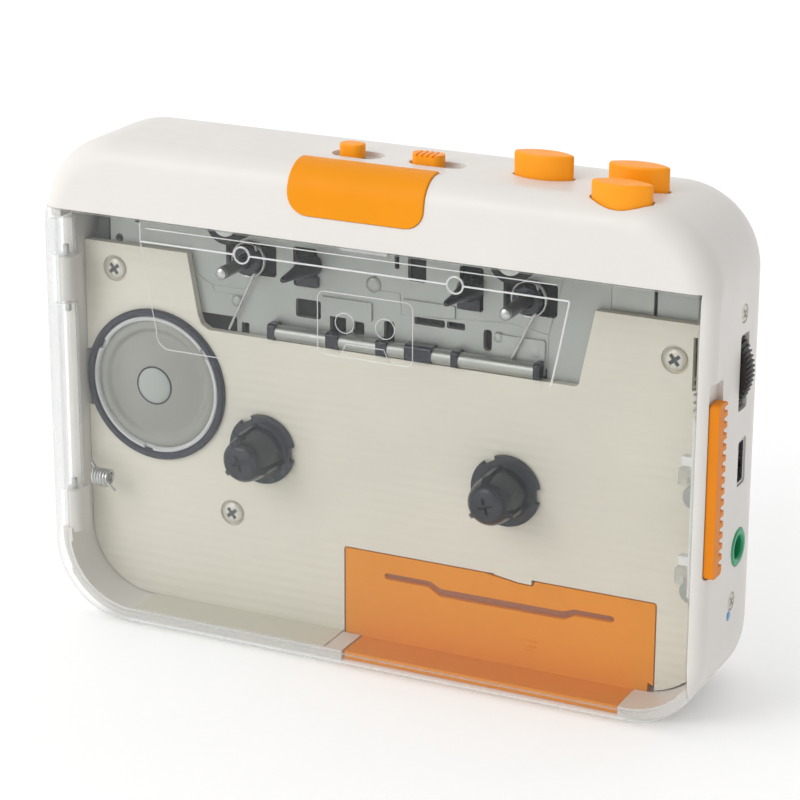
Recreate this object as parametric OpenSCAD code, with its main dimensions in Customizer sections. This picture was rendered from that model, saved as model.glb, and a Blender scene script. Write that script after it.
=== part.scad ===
// Portable cassette player standing on its long bottom edge.
// X runs along the width, -Y is the clear front door, +Z is up.
// The origin is the middle of the bottom edge.

/* [Body] */
// Width of the case along X
body_w = 113; // [110:0.5:120]
// Height of the case along Z, without the buttons
body_h = 81; // [80:0.5:84]
// Depth of the case along Y
body_d = 30; // [29.5:0.5:33]
// Corner radius of the case seen from the front
corner_r = 13; // [13:0.5:15]
// Edge radius round the back, at the sides and the top
rear_r = 12.9; // [12:0.1:12.9]
// Edge radius of the shoulder above the door
shoulder_r = 4.5; // [4:0.5:6]
// Edge radius round the door
lip_r = 2.5; // [2:0.5:3]
// Wall thickness of the moulded case
wall = 1.7; // [1.5:0.1:2]

/* [Door] */
// Height of the door's top edge
door_top = 69; // [67:0.5:70]
// Distance from the door's free edge to the case side
door_inset = 2.5; // [2:0.5:4]
// Thickness of the clear plastic
door_t = 1.5; // [1.2:0.1:1.8]

/* [Tape deck] */
// Depth of the cassette well behind the door's front face
well_d = 10.4; // [10.2:0.1:11]
// Middle of the deck along X
deck_x = -1; // [-2:0.5:1]
// Spacing of the two reel hubs
hub_spacing = 42.5; // [42:0.5:43]
// Height of the reel hubs
hub_z = 30.8; // [30:0.2:32]
// Spacing of the two capstans
capstan_spacing = 48; // [46:1:50]
// Height of the capstans
capstan_z = 61.6; // [60:0.2:63]
// Radius of a capstan shaft
capstan_r = 1; // [0.8:0.1:1.2]
// Radius of a flywheel
flywheel_r = 11; // [10:0.5:11]

/* [Speaker] */
// Middle of the loudspeaker along X
speaker_x = -41.8; // [-42:0.2:-40]
// Height of the loudspeaker
speaker_z = 38.7; // [37:0.5:40]
// Outer radius of the loudspeaker's ring
speaker_r = 12.7; // [11:0.1:12.8]

/* [Controls] */
// Travel of a push button
button_travel = 3; // [2:0.5:3]
// Width of a push button
button_w = 9.4; // [8:0.2:10]
// Depth of a push button
button_d = 4.2; // [4:0.2:5.2]
// Travel of the opening slider
slider_travel = 2.7; // [1:0.1:2.7]
// Radius of the volume wheel
wheel_r = 8; // [7:0.5:9]

/* [Battery] */
// Radius of the AA cell
cell_r = 7.1; // [6.9:0.1:7.1]
// Length of the cell without its button
cell_l = 48.2; // [47:0.1:48.5]

/* [Hidden] */
$fn = 48;

side_x = body_w / 2;
front_y = -body_d / 2;
back_y = body_d / 2;
inner_x = side_x - wall;
inner_back = back_y - wall;
split_y = 9.5;
foot_r = 10;
gap = 0.3;
far = 200;

// Door
door_right = side_x - door_inset;
lip_corner = 3;
rim_y = front_y + 3;
hinge_x = -side_x + door_t;
hinge_y = front_y + 5.4;
bead_r = door_t;
bead_z0 = 14;
bead_z1 = 66.5;
hinge_zs = [16.5, 56.3];
knuckle_h = 8;
pin_spans = [[13.8, 22.1], [50.7, 61.9]];
pin_r = 0.5;
pin_fit = 0.05;
hook_x0 = 51.2;
hook_x1 = 52.7;
hook_h = 2.4;
hook_zs = [24.2, 39.8];
hook_back = front_y + 6.4;

// Cassette deck
panel_y = front_y + well_d;
panel_t = 1.4;
panel_back = panel_y + panel_t;
panel_top = 61.5;
panel_z0 = wall + 0.2;
panel_r = corner_r - wall - 0.3;
hub_xs = [deck_x - hub_spacing / 2, deck_x + hub_spacing / 2];
capstan_xs = [deck_x - capstan_spacing / 2, deck_x + capstan_spacing / 2];
guide_xs = [-14.2, 13.4];
plate_y = panel_back + 0.1;
plate_t = 1;
flywheel_y = 9.3;
flywheel_t = 3;
belt_y = flywheel_y + 0.9;
belt_w = 1.2;
belt_t = 0.8;
groove_depth = 0.6;
motor_x = deck_x;
motor_z = 41;
motor_r = 9.5;
pulley_r = 3;
roller_r = 3.5;
roller_z = capstan_z + capstan_r + roller_r + button_travel + gap;
carriage_z0 = 68.2;
carriage_z1 = 73.2;
carriage_y = panel_y + 0.2;
post_spots = [[-40.5, 15.5], [-40.5, 57], [38, 21.5], [38.5, 57.5]];
post_r = 2.6;
screw_spots = [[-49.1, 57.3], [46.9, 55.7], [-28.2, 18.7]];

// Top controls: [x, y, height of the case there]
top_z = body_h;
play_spot = [25.3, -4.4];
forward_spot = [40.4, -4.6];
stop_spot = [40.4, -11.2];
button_up = 3.6;
stop_up = 2.5;
switch_y = -4.6;
power_x = -6.2;
mode_x = 6.6;

// Side controls
side_y = -0.6;
wheel_y = -1.3;
wheel_t = 2.8;
wheel_z = 54.3;
wheel_x = side_x + 1.3 - wheel_r;
usb_z = 40;
jack_z = 26.3;
slider_y0 = -14;
slider_y1 = -10.4;
slider_z0 = 25.8;
slider_z1 = 52.8;
side_screw_spots = [[-1.9, 63.4], [-2.6, 18.2]];

// Battery
cover_x0 = -7.7;
cover_x1 = 45.2;
cover_top = 16.3;
foot_x0 = -4.7;
foot_x1 = 42;
foot_y = front_y + 3.8;
foot_t = 1.4;
lift = 0.15;
cell_x0 = -6.2;
cell_y = 5.2;
cell_z = 9;

// ---- helpers -------------------------------------------------------------

module block(x0, y0, z0, x1, y1, z1)
    translate([x0, y0, z0])
        cube([x1 - x0, y1 - y0, z1 - z0]);

// A flat shape drawn in X and Z, made solid from y0 to y1
module slab(y0, y1)
    translate([0, y1, 0])
        rotate([90, 0, 0])
            linear_extrude(y1 - y0)
                children();

module rod_x(y, z, x0, x1, r)
    translate([x0, y, z])
        rotate([0, 90, 0])
            cylinder(h = x1 - x0, r = r);

module rod_y(x, z, y0, y1, r)
    translate([x, y1, z])
        rotate([90, 0, 0])
            cylinder(h = y1 - y0, r = r);

module rod_z(x, y, z0, z1, r)
    translate([x, y, z0])
        cylinder(h = z1 - z0, r = r);

// Ring along Y
module tube_y(x, z, y0, y1, r_out, r_in)
    difference() {
        rod_y(x, z, y0, y1, r_out);
        rod_y(x, z, y0 - 1, y1 + 1, r_in);
    }

// Rounded corner disc of the case, lying in the XZ plane
module corner_disc(r_corner, r_edge)
    rotate([90, 0, 0])
        rotate_extrude($fn = 32)
            intersection() {
                translate([r_corner - r_edge, 0])
                    circle(r_edge, $fn = 32);
                translate([0, -r_edge])
                    square([r_corner, 2 * r_edge]);
            }

// The whole outer form of the case, grown by g
module body_form(g = 0)
    hull()
        for (side = [-1, 1])
            for (top = [0, 1]) {
                front_r = top ? shoulder_r : lip_r;
                cz = top ? body_h - corner_r : corner_r;
                cx = side * (side_x - corner_r);
                translate([cx, back_y - rear_r, cz])
                    corner_disc(corner_r + g, rear_r + g);
                // tighter edge at the foot, for a steadier stand
                translate([cx, back_y - foot_r, foot_r])
                    corner_disc(foot_r + g, foot_r + g);
                translate([cx, front_y + front_r, cz])
                    corner_disc(corner_r + g, front_r + g);
                // keeps the lip radius up to the top of the door
                translate([side * (side_x - lip_corner), front_y + lip_r, door_top - lip_corner])
                    corner_disc(lip_corner + g, lip_r + g);
            }

// Where the door sits; c is the clearance added round it
module door_zone(c = 0) {
    block(-far, -far, -far, door_right + c, rim_y + c, door_top + c);
    block(-far, -far, bead_z0 - c, hinge_x + (c > 0 ? bead_r + c : 0),
          hinge_y + (c > 0 ? bead_r + 0.2 : 0), bead_z1 + c);
    // room for the hinged edge to swing past
    block(-far, -far, -far, hinge_x + c, rim_y + 2.7 * c, door_top + c);
}

// Eye-shaped outline of a push button
module button_outline(grow = 0) {
    tip = 0.8;
    half_w = (button_w + tip) / 2;
    half_d = button_d / 2;
    arc_r = (half_w * half_w + half_d * half_d) / (2 * half_d);
    intersection() {
        translate([0, arc_r - half_d])
            circle(arc_r + grow, $fn = 96);
        translate([0, half_d - arc_r])
            circle(arc_r + grow, $fn = 96);
        square([button_w + 2 * grow, button_d + 1], center = true);
    }
}

module button_hole(spot, z0)
    translate([spot[0], spot[1], z0])
        linear_extrude(30)
            button_outline(0.25);

// Slot with round ends along X
module slot_x(x0, x1, y, half, z0, z1) {
    block(x0, y - half, z0, x1, y + half, z1);
    rod_z(x0, y, z0, z1, half);
    rod_z(x1, y, z0, z1, half);
}

// Badge outline from the front, with round lower corners
module badge_zone() {
    bx0 = -12;
    bx1 = 10.7;
    br = 3.2;
    bz0 = 73.4;
    intersection() {
        slab(-far, far) {
            translate([bx0, bz0 + br])
                square([bx1 - bx0, 40]);
            translate([bx0 + br, bz0])
                square([bx1 - bx0 - 2 * br, 40]);
            translate([bx0 + br, bz0 + br])
                circle(br);
            translate([bx1 - br, bz0 + br])
                circle(br);
        }
        block(-far, -far, 0, far, -9.6, far);
    }
}

// ---- case ----------------------------------------------------------------

module hinge_lugs()
    for (z = hinge_zs)
        difference() {
            union() {
                rod_z(hinge_x, hinge_y, z - knuckle_h / 2 + gap, z + knuckle_h / 2 - gap, 1.3);
                block(hinge_x - 1.3, hinge_y, z - knuckle_h / 2 + gap,
                      hinge_x + 1.3, hinge_y + 2.4, z + knuckle_h / 2 - gap);
            }
            rod_z(hinge_x, hinge_y, z - knuckle_h, z + knuckle_h, pin_r);
        }

module side_openings() {
    // volume wheel, socket, jack, slider, screws and lamp
    block(inner_x - 1, wheel_y - wheel_t / 2 - 0.4, wheel_z - 5.9,
          side_x + 1, wheel_y + wheel_t / 2 + 0.4, wheel_z + 5.9);
    block(inner_x - 1, wheel_y - wheel_t / 2 - 0.4, wheel_z - 6.9,
          side_x - 0.7, wheel_y + wheel_t / 2 + 0.4, wheel_z + 6.9);
    block(inner_x - 1, side_y - 1.7, usb_z - 3.7, side_x + 1, side_y + 1.7, usb_z + 3.7);
    rod_x(side_y, jack_z, inner_x - 1, side_x + 1, 3.05);
    block(side_x - 0.9, slider_y0 - 0.2, slider_z0 - 0.2,
          side_x + 1, slider_y1 + 0.2, slider_z1 + slider_travel + 0.4);
    block(inner_x - 1, slider_y0 + 1, 34, side_x + 1, slider_y1 - 0.8, 44 + slider_travel + 0.4);
    for (s = side_screw_spots) {
        rod_x(s[0], s[1], inner_x - 1, side_x + 1, 0.85);
        rod_x(s[0], s[1], side_x - 0.7, side_x + 1, 1.5);
    }
    rod_x(-3.6, 16.2, inner_x - 1, side_x + 1, 0.85);
}

module top_openings() {
    button_hole(play_spot, body_h - 6);
    button_hole(forward_spot, body_h - 6);
    button_hole(stop_spot, body_h - 7.7);
    slot_x(power_x - 1.1, power_x + 3.1, switch_y, 2.2, top_z - 0.8, top_z + 1);
    slot_x(power_x - 0.6, power_x + 2.6, switch_y, 1.1, top_z - 4, top_z + 1);
    slot_x(mode_x - 1.4, mode_x + 4.4, switch_y, 1.8, top_z - 0.8, top_z + 1);
    slot_x(mode_x - 0.6, mode_x + 3.6, switch_y, 1.1, top_z - 4, top_z + 1);
}

module battery_floor_cut() {
    block(foot_x0 - 0.2, rim_y - 1, -1, foot_x1 + 0.2, panel_back + 0.2, wall + 0.6);
    block(cover_x0 - 0.2, panel_y - 0.2, -1, cover_x1 + 0.2, panel_back + 0.2, wall + 0.6);
}

module main_shell()
    color("ghostwhite") {
        difference() {
            body_form();
            body_form(-wall);
            block(-far, split_y, -far, far, far, far);
            door_zone(gap);
            side_openings();
            top_openings();
            battery_floor_cut();
            difference() {
                badge_zone();
                body_form(-0.8);
            }
        }
        hinge_lugs();
    }

module rear_cover()
    color("ghostwhite")
        difference() {
            body_form();
            body_form(-wall);
            block(-far, -far, -far, far, split_y + 0.05, far);
            for (s = post_spots) {
                rod_y(s[0], s[1], 0, far, 1.1);
                rod_y(s[0], s[1], back_y - 1, far, 2.3);
            }
        }

module badge_plate()
    color("orange")
        difference() {
            intersection() {
                body_form(0.3);
                badge_zone();
            }
            body_form(-0.75);
        }

module panel_outline()
    difference() {
        union() {
            translate([-inner_x + 0.2, panel_z0 + panel_r])
                square([2 * inner_x - 1.4, panel_top - panel_z0 - panel_r]);
            translate([-inner_x + 0.2 + panel_r, panel_z0])
                square([2 * inner_x - 1.4 - 2 * panel_r, panel_r + 1]);
            translate([-inner_x + 0.2 + panel_r, panel_z0 + panel_r])
                circle(panel_r);
            translate([inner_x - 1.2 - panel_r, panel_z0 + panel_r])
                circle(panel_r);
        }
        polygon([
            [-35.9, far], [-35.8, panel_top], [-33.7, 51.4], [-31.6, 49.2],
            [31.5, 49.2], [34.1, panel_top], [34.1, far]
        ]);
        translate([cover_x0 - 0.2, 0])
            square([cover_x1 - cover_x0 + 0.4, cover_top + 0.2]);
    }

module chassis_panel()
    color("lightgray")
        difference() {
            union() {
                slab(panel_y, panel_back)
                    panel_outline();
                for (s = post_spots)
                    rod_y(s[0], s[1], panel_back - 0.5, inner_back - 0.1, post_r);
                // battery bay: two end walls and a shelf
                block(cover_x0 - 1.5, panel_back - 0.5, 3.2, cover_x0 - 0.2, 6.5, 18);
                block(cover_x1 + 0.2, panel_back - 0.5, 3.2, cover_x1 + 1.5, 6.5, 18);
                block(cover_x0 - 1.5, panel_back - 0.5, 16.8, cover_x1 + 1.5, 12.5, 18);
            }
            rod_y(speaker_x, speaker_z, panel_y - 1, panel_back + 1, speaker_r - 0.4);
            for (x = hub_xs)
                rod_y(x, hub_z, panel_y - 1, panel_back + 1, 5);
            for (s = screw_spots) {
                rod_y(s[0], s[1], panel_y - 1, panel_back + 1, 0.85);
                rod_y(s[0], s[1], panel_y - 1, panel_y + 0.6, 2.2);
            }
            for (s = post_spots)
                rod_y(s[0], s[1], 4, far, 0.85);
        }

// ---- tape transport ------------------------------------------------------

module mechanism_plate()
    color("darkgray")
        difference() {
            slab(plate_y, plate_y + plate_t)
                polygon([
                    [-37.5, 67.5], [36, 67.5], [36, 46], [-30.5, 46],
                    [-32.5, 49], [-34.5, 50.6], [-37.5, 52.5]
                ]);
            for (x = capstan_xs)
                rod_y(x, capstan_z, plate_y - 1, plate_y + plate_t + 1, 2.4);
            for (x = guide_xs)
                rod_y(x, 62, plate_y - 1, plate_y + plate_t + 1, 2);
            block(3, plate_y - 1, 53.6, 11, plate_y + plate_t + 1, 55.2);
            block(14.8, plate_y - 1, 51.8, 16.2, plate_y + plate_t + 1, 55.4);
            block(-2.6, plate_y - 1, 51, -1.2, plate_y + plate_t + 1, 54.4);
            block(-17.4, plate_y - 1, 53.4, -14, plate_y + plate_t + 1, 56);
        }

module guide_bar()
    color("slategray")
        rod_x(plate_y - 1.3, 50.6, -21, 25.5, 1.2);

module guide_pins()
    color("#25282e")
        for (x = guide_xs) {
            rod_y(x, 62, -5, plate_y + plate_t, 1.95);
            translate([x, -5, 62])
                rotate([90, 0, 0])
                    cylinder(h = 8, r1 = 2, r2 = 0.8);
        }

module capstan(x)
    rod_y(x, capstan_z, front_y + 2, flywheel_y + flywheel_t, capstan_r);

module capstan_left()
    color("silver")
        capstan(capstan_xs[0]);

module capstan_right()
    color("silver")
        capstan(capstan_xs[1]);

module capstan_bushes()
    color("tan")
        for (x = capstan_xs)
            tube_y(x, capstan_z, panel_y - 0.4, 3, 2.35, capstan_r + 0.05);

// Torsion spring round a bush, with one straight leg
module capstan_springs()
    color("dimgray")
        for (x = capstan_xs) {
            tube_y(x, capstan_z, plate_y - 1, plate_y - 0.05, 3.1, 2.4);
            translate([x, plate_y - 0.5, capstan_z])
                rotate([0, 25, 0])
                    translate([-2.8, 0, 0])
                        rotate([180, 0, 0])
                            cylinder(h = 9, r = 0.3);
        }

module flywheel(x)
    difference() {
        rod_y(x, capstan_z, flywheel_y, flywheel_y + flywheel_t, flywheel_r);
        rod_y(x, capstan_z, flywheel_y - 1, flywheel_y + flywheel_t + 1, capstan_r);
        difference() {
            rod_y(x, capstan_z, belt_y - 0.2, belt_y + belt_w + 0.2, flywheel_r + 1);
            rod_y(x, capstan_z, belt_y - 1, belt_y + belt_w + 1, flywheel_r - groove_depth);
        }
    }

module flywheel_left()
    color("burlywood")
        flywheel(capstan_xs[0]);

module flywheel_right()
    color("burlywood")
        flywheel(capstan_xs[1]);

module belt_path(g)
    hull() {
        for (x = capstan_xs)
            translate([x, capstan_z])
                circle(flywheel_r - groove_depth + g, $fn = 96);
        translate([motor_x, motor_z])
            circle(pulley_r - groove_depth + g, $fn = 48);
    }

module drive_belt()
    color("#1a1a1a")
        slab(belt_y, belt_y + belt_w)
            difference() {
                belt_path(0.05 + belt_t);
                belt_path(0.05);
            }

module motor()
    color("silver")
        difference() {
            union() {
                rod_y(motor_x, motor_z, -1, 8.2, motor_r);
                rod_y(motor_x, motor_z, 8, 8.9, 3);
            }
            rod_y(motor_x, motor_z, 5, 10, 0.8);
        }

module motor_pulley()
    color("gold") {
        difference() {
            rod_y(motor_x, motor_z, flywheel_y, flywheel_y + 2.9, pulley_r);
            difference() {
                rod_y(motor_x, motor_z, belt_y - 0.2, belt_y + belt_w + 0.2, pulley_r + 1);
                rod_y(motor_x, motor_z, belt_y - 1, belt_y + belt_w + 1, pulley_r - groove_depth);
            }
        }
        rod_y(motor_x, motor_z, 5.2, flywheel_y + 0.1, 0.75);
    }

module hub(x) {
    flange_y = panel_y - 0.9;
    rod_y(x, hub_z, flange_y, panel_y - 0.2, 5.75);
    rod_y(x, hub_z, panel_y - 0.3, panel_back + 0.3, 4.7);
    rod_y(x, hub_z, front_y + 3.2, flange_y + 0.1, 3.3);
    translate([x, front_y + 3.2, hub_z])
        rotate([90, 0, 0])
            cylinder(h = 1.3, r1 = 3.3, r2 = 2.4);
    for (a = [0, 120, 240])
        translate([x, 0, hub_z])
            rotate([0, a, 0])
                block(-0.6, front_y + 3.4, 0, 0.6, flange_y, 4.6);
}

module hub_left()
    color("#2b3038")
        hub(hub_xs[0]);

module hub_right()
    color("#2b3038")
        hub(hub_xs[1]);

module reel_table(x)
    rod_y(x, hub_z, panel_back + 0.3, panel_back + 1.7, 8);

module reel_table_left()
    color("white")
        reel_table(hub_xs[0]);

module reel_table_right()
    color("white")
        reel_table(hub_xs[1]);

// ---- playback head, moved down by the play button --------------------------

module head_carriage()
    color("lightsteelblue")
        block(-32, carriage_y, carriage_z0, 30.5, carriage_y + 0.9, carriage_z1);

module playback_head()
    color("silver") {
        block(deck_x - 6, front_y + 3, 69.5, deck_x + 6, carriage_y, 73.5);
        block(deck_x - 4, front_y + 3.6, 67.6, deck_x + 4, front_y + 8, 69.6);
    }

module roller_arms()
    color("gainsboro")
        for (x = capstan_xs) {
            block(x - 2, carriage_y - 1.2, roller_z - 1.6, x + 2, carriage_y, roller_z + 2.4);
            rod_y(x, roller_z, front_y + 3.2, carriage_y - 1.1, 0.8);
        }

module pinch_roller(x)
    tube_y(x, roller_z, front_y + 3.4, carriage_y - 1.5, roller_r, 0.85);

module pinch_roller_left()
    color("#222222")
        pinch_roller(capstan_xs[0]);

module pinch_roller_right()
    color("#222222")
        pinch_roller(capstan_xs[1]);

// ---- sound -----------------------------------------------------------------

module speaker_ring()
    color("#3f4352") {
        tube_y(speaker_x, speaker_z, panel_y - 0.8, panel_y, speaker_r, 11);
        tube_y(speaker_x, speaker_z, panel_y - 0.1, 0, speaker_r - 0.5, 11);
        tube_y(speaker_x, speaker_z, -0.8, 0, 11.1, 4);
    }

module speaker_cone()
    color("#979a92")
        translate([speaker_x, panel_y + 0.3, speaker_z])
            rotate([-90, 0, 0])
                difference() {
                    cylinder(h = 2.4, r1 = 10.9, r2 = 4);
                    translate([0, 0, -0.5])
                        cylinder(h = 2.4, r1 = 10.9, r2 = 4);
                }

module speaker_dome()
    color("#a9b0ac")
        intersection() {
            translate([speaker_x, panel_y + 5.6, speaker_z])
                sphere(r = 5);
            rod_y(speaker_x, speaker_z, panel_y + 0.2, panel_y + 1.9, 3.3);
        }

module speaker_magnet()
    color("gray")
        rod_y(speaker_x, speaker_z, 0.1, 6, 9);

// ---- electronics -----------------------------------------------------------

module circuit_board()
    color("#1f6b3a")
        difference() {
            block(30, 2, 25.5, 54.3, 3.2, 62.5);
            rod_y(wheel_x, wheel_z, 1, 4, 1.6);
            rod_y(post_spots[3][0], post_spots[3][1], 1, 4, post_r + 0.2);
        }

module volume_pot()
    color("dimgray") {
        rod_y(wheel_x, wheel_z, 0.4, 1.95, 5);
        rod_y(wheel_x, wheel_z, wheel_y - wheel_t / 2, 3.6, 1.5);
    }

module volume_wheel()
    color("#1a1610")
        difference() {
            rod_y(wheel_x, wheel_z, wheel_y - wheel_t / 2, wheel_y + wheel_t / 2, wheel_r);
            rod_y(wheel_x, wheel_z, wheel_y - wheel_t, wheel_y + wheel_t, 1.55);
            for (i = [0:39])
                translate([wheel_x, wheel_y, wheel_z])
                    rotate([0, i * 9, 0])
                        translate([wheel_r, 0, 0])
                            cube([0.6, wheel_t + 1, 0.5], center = true);
        }

module headphone_jack()
    color("#2f9a6c")
        difference() {
            union() {
                rod_x(side_y, jack_z, inner_x - 0.3, side_x + 0.2, 3);
                block(43, side_y - 2.5, jack_z - 3, inner_x - 0.2, side_y + 2.5, jack_z + 3);
            }
            rod_x(side_y, jack_z, 44.5, side_x + 1, 1.8);
        }

module usb_socket()
    color("silver")
        difference() {
            block(46, side_y - 1.5, usb_z - 3.5, side_x - 0.2, side_y + 2.5, usb_z + 3.5);
            block(47, side_y - 1.1, usb_z - 3.1, side_x + 1, side_y + 1.1, usb_z + 3.1);
            block(inner_x - 0.2, side_y + 1.5, usb_z - 5, side_x + 1, side_y + 4, usb_z + 5);
        }

module status_led()
    color("deepskyblue")
        rod_x(-3.6, 16.2, inner_x, side_x + 0.1, 0.8);

module slide_switches()
    color("silver") {
        block(power_x - 3.5, switch_y - 2, 73.6, power_x + 5.5, switch_y + 2, 76);
        block(mode_x - 4, switch_y - 2, 73.6, mode_x + 7, switch_y + 2, 76);
    }

// ---- buttons and switches ----------------------------------------------------

// Cap, flange and stem; up is the cap's height above case_z
module push_button(spot, case_z, up, skirt)
    translate([spot[0], spot[1], 0]) {
        translate([0, 0, case_z - skirt])
            linear_extrude(skirt + up - 0.5)
                button_outline();
        translate([0, 0, case_z + up - 0.5])
            linear_extrude(0.5)
                button_outline(-0.4);
        translate([0, 0, 74])
            cylinder(h = case_z - skirt - 73.9, r = 1.4);
    }

module play_button()
    color("orange")
        push_button(play_spot, top_z, button_up, 4.5);

module fast_forward_button()
    color("orange")
        push_button(forward_spot, top_z, button_up, 4.5);

module stop_button()
    color("orange")
        push_button(stop_spot, top_z, stop_up, 4.5);

module power_switch()
    color("orange") {
        slot_x(power_x - 0.6, power_x + 0.6, switch_y, 1.45, top_z - 0.6, top_z + 1.7);
        block(power_x - 0.8, switch_y - 0.9, 76.2, power_x + 0.8, switch_y + 0.9, top_z - 0.5);
    }

module mode_switch()
    color("orange") {
        difference() {
            slot_x(mode_x - 1.2, mode_x + 1.2, switch_y, 1.4, top_z - 0.6, top_z + 1.5);
            for (i = [-2:2])
                block(mode_x + i - 0.15, switch_y - 3, top_z + 1.2,
                      mode_x + i + 0.15, switch_y + 3, top_z + 2);
        }
        block(mode_x - 0.8, switch_y - 0.9, 76.2, mode_x + 0.8, switch_y + 0.9, top_z - 0.5);
    }

// ---- door and latch ------------------------------------------------------------

module open_slider()
    color("darkorange") {
        difference() {
            block(side_x - 0.7, slider_y0, slider_z0, side_x + 0.9, slider_y1, slider_z1);
            for (i = [0:14])
                block(side_x + 0.6, slider_y1 - 1.6, slider_z0 + 1.4 + i * 1.72,
                      side_x + 2, slider_y1 + 1, slider_z0 + 2.2 + i * 1.72);
        }
        block(54.5, slider_y0 + 1.2, 34.2, side_x - 0.6, slider_y1 - 1, 43.9);
    }

module latch_bar()
    color("white") {
        block(53, slider_y0 + 1.2, 22, 54.5, slider_y1 - 0.6, 50);
        for (z = hook_zs)
            block(hook_x0 + 0.2, slider_y0 + 1.4, z + hook_h + gap,
                  53.1, slider_y1 - 0.8, z + hook_h + gap + 1.4);
    }

module latch_spring()
    color("silver")
        for (i = [0:4])
            translate([53.6, -11.9, 50.4 + i * 1.5])
                rotate_extrude()
                    translate([0.75, 0])
                        circle(0.25, $fn = 16);

module latch_keepers()
    color("#a0a196")
        for (z = [19.6, 34.8])
            intersection() {
                rod_y(51, z, panel_y - 0.8, panel_y, 1.9);
                block(48, panel_y - 1, z - 3, 51, panel_y + 1, z + 3);
            }

module door()
    color("lightcyan", 0.4)
        difference() {
            union() {
                difference() {
                    intersection() {
                        body_form();
                        door_zone();
                    }
                    body_form(-door_t);
                }
                rod_z(hinge_x, hinge_y, bead_z0, bead_z1, bead_r);
                for (z = hook_zs) {
                    block(hook_x0, front_y + door_t - 0.1, z, hook_x1, hook_back, z + hook_h);
                    block(hook_x0, hook_back - 1, z - 1, hook_x1, hook_back, z + 0.1);
                }
            }
            for (z = hinge_zs)
                block(-far, hinge_y - 1.8, z - knuckle_h / 2, hinge_x + 3,
                      hinge_y + 3, z + knuckle_h / 2);
            for (s = pin_spans)
                rod_z(hinge_x, hinge_y, s[0], s[1] + 0.2, pin_r + pin_fit);
            rod_z(hinge_x, hinge_y, pin_spans[1][0] - 0.2, hinge_zs[1], pin_r + pin_fit);
        }

module hinge_pins()
    color("silver")
        for (s = pin_spans)
            rod_z(hinge_x, hinge_y, s[0], s[1], pin_r);

// Small torsion spring that pushes the door open
module door_spring()
    color("silver")
        for (i = [0:4])
            translate([-51.6 + i * 0.7, -8.6, 22.6])
                rotate([0, 90, 0])
                    rotate_extrude()
                        translate([1.3, 0])
                            circle(0.28, $fn = 16);

// ---- battery ---------------------------------------------------------------------

module battery_cover()
    color("#d8843a")
        difference() {
            union() {
                block(cover_x0, panel_y, lift, cover_x1, panel_back, cover_top);
                block(foot_x0, foot_y, lift, foot_x1, panel_y + 0.1, lift + foot_t);
            }
            // long finger groove, lower in the middle
            block(-1, panel_y - 1, 12.2, 7, panel_y + 0.6, 13.4);
            block(6.8, panel_y - 1, 11.2, 32, panel_y + 0.6, 12.6);
            block(31.8, panel_y - 1, 12.2, 38, panel_y + 0.6, 13.4);
            // dip in the top edge
            block(18, panel_y - 1, cover_top - 0.9, 25, panel_back + 1, cover_top + 1);
        }

module battery_cell()
    color("steelblue") {
        rod_x(cell_y, cell_z, cell_x0, cell_x0 + cell_l, cell_r);
        rod_x(cell_y, cell_z, cell_x0 + cell_l - 0.1, cell_x0 + cell_l + 1, 2.6);
    }

module battery_contacts()
    color("silver") {
        block(cover_x1 - 0.5, 2, 4, cover_x1, 6.4, 14);
        block(cover_x1 - 1.2, 3.9, 7.5, cover_x1 - 0.4, 5.9, 10.3);
        block(cover_x0, 2, 4, cover_x0 + 0.4, 6.4, 14);
        for (i = [0:1])
            translate([cover_x0 + 0.65 + i * 0.5, 4.2, cell_z])
                rotate([0, 90, 0])
                    rotate_extrude()
                        translate([2.4 - i * 0.6, 0])
                            circle(0.25, $fn = 16);
    }

// ---- fasteners ----------------------------------------------------------------------

module panel_screws()
    color("silver")
        for (s = screw_spots) {
            rod_y(s[0], s[1], panel_y - 0.3, panel_y + 0.6, 1.75);
            rod_y(s[0], s[1], panel_y + 0.5, panel_back, 0.8);
        }

module side_screws()
    color("silver")
        for (s = side_screw_spots) {
            rod_x(s[0], s[1], side_x - 0.7, side_x + 0.1, 1.4);
            rod_x(s[0], s[1], 53.8, side_x - 0.6, 0.8);
        }

module rear_screws()
    color("silver")
        for (s = post_spots) {
            rod_y(s[0], s[1], back_y - 1, back_y - 0.2, 2.1);
            rod_y(s[0], s[1], 5, back_y - 0.9, 0.8);
        }

main_shell();
rear_cover();
chassis_panel();
badge_plate();
mechanism_plate();
guide_bar();
guide_pins();
capstan_left();
capstan_right();
capstan_bushes();
capstan_springs();
flywheel_left();
flywheel_right();
drive_belt();
motor();
motor_pulley();
hub_left();
hub_right();
reel_table_left();
reel_table_right();
speaker_ring();
speaker_cone();
speaker_dome();
speaker_magnet();
circuit_board();
volume_wheel();
volume_pot();
headphone_jack();
usb_socket();
status_led();
play_button();
stop_button();
fast_forward_button();
slide_switches();
power_switch();
mode_switch();
open_slider();
latch_bar();
latch_spring();
latch_keepers();
door();
hinge_pins();
door_spring();
battery_cover();
battery_cell();
battery_contacts();
head_carriage();
playback_head();
roller_arms();
pinch_roller_left();
pinch_roller_right();
panel_screws();
side_screws();
rear_screws();
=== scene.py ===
"""Portable cassette player: the looks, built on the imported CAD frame."""
import math

import bmesh
import bpy
from mathutils import Matrix, Vector


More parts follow.
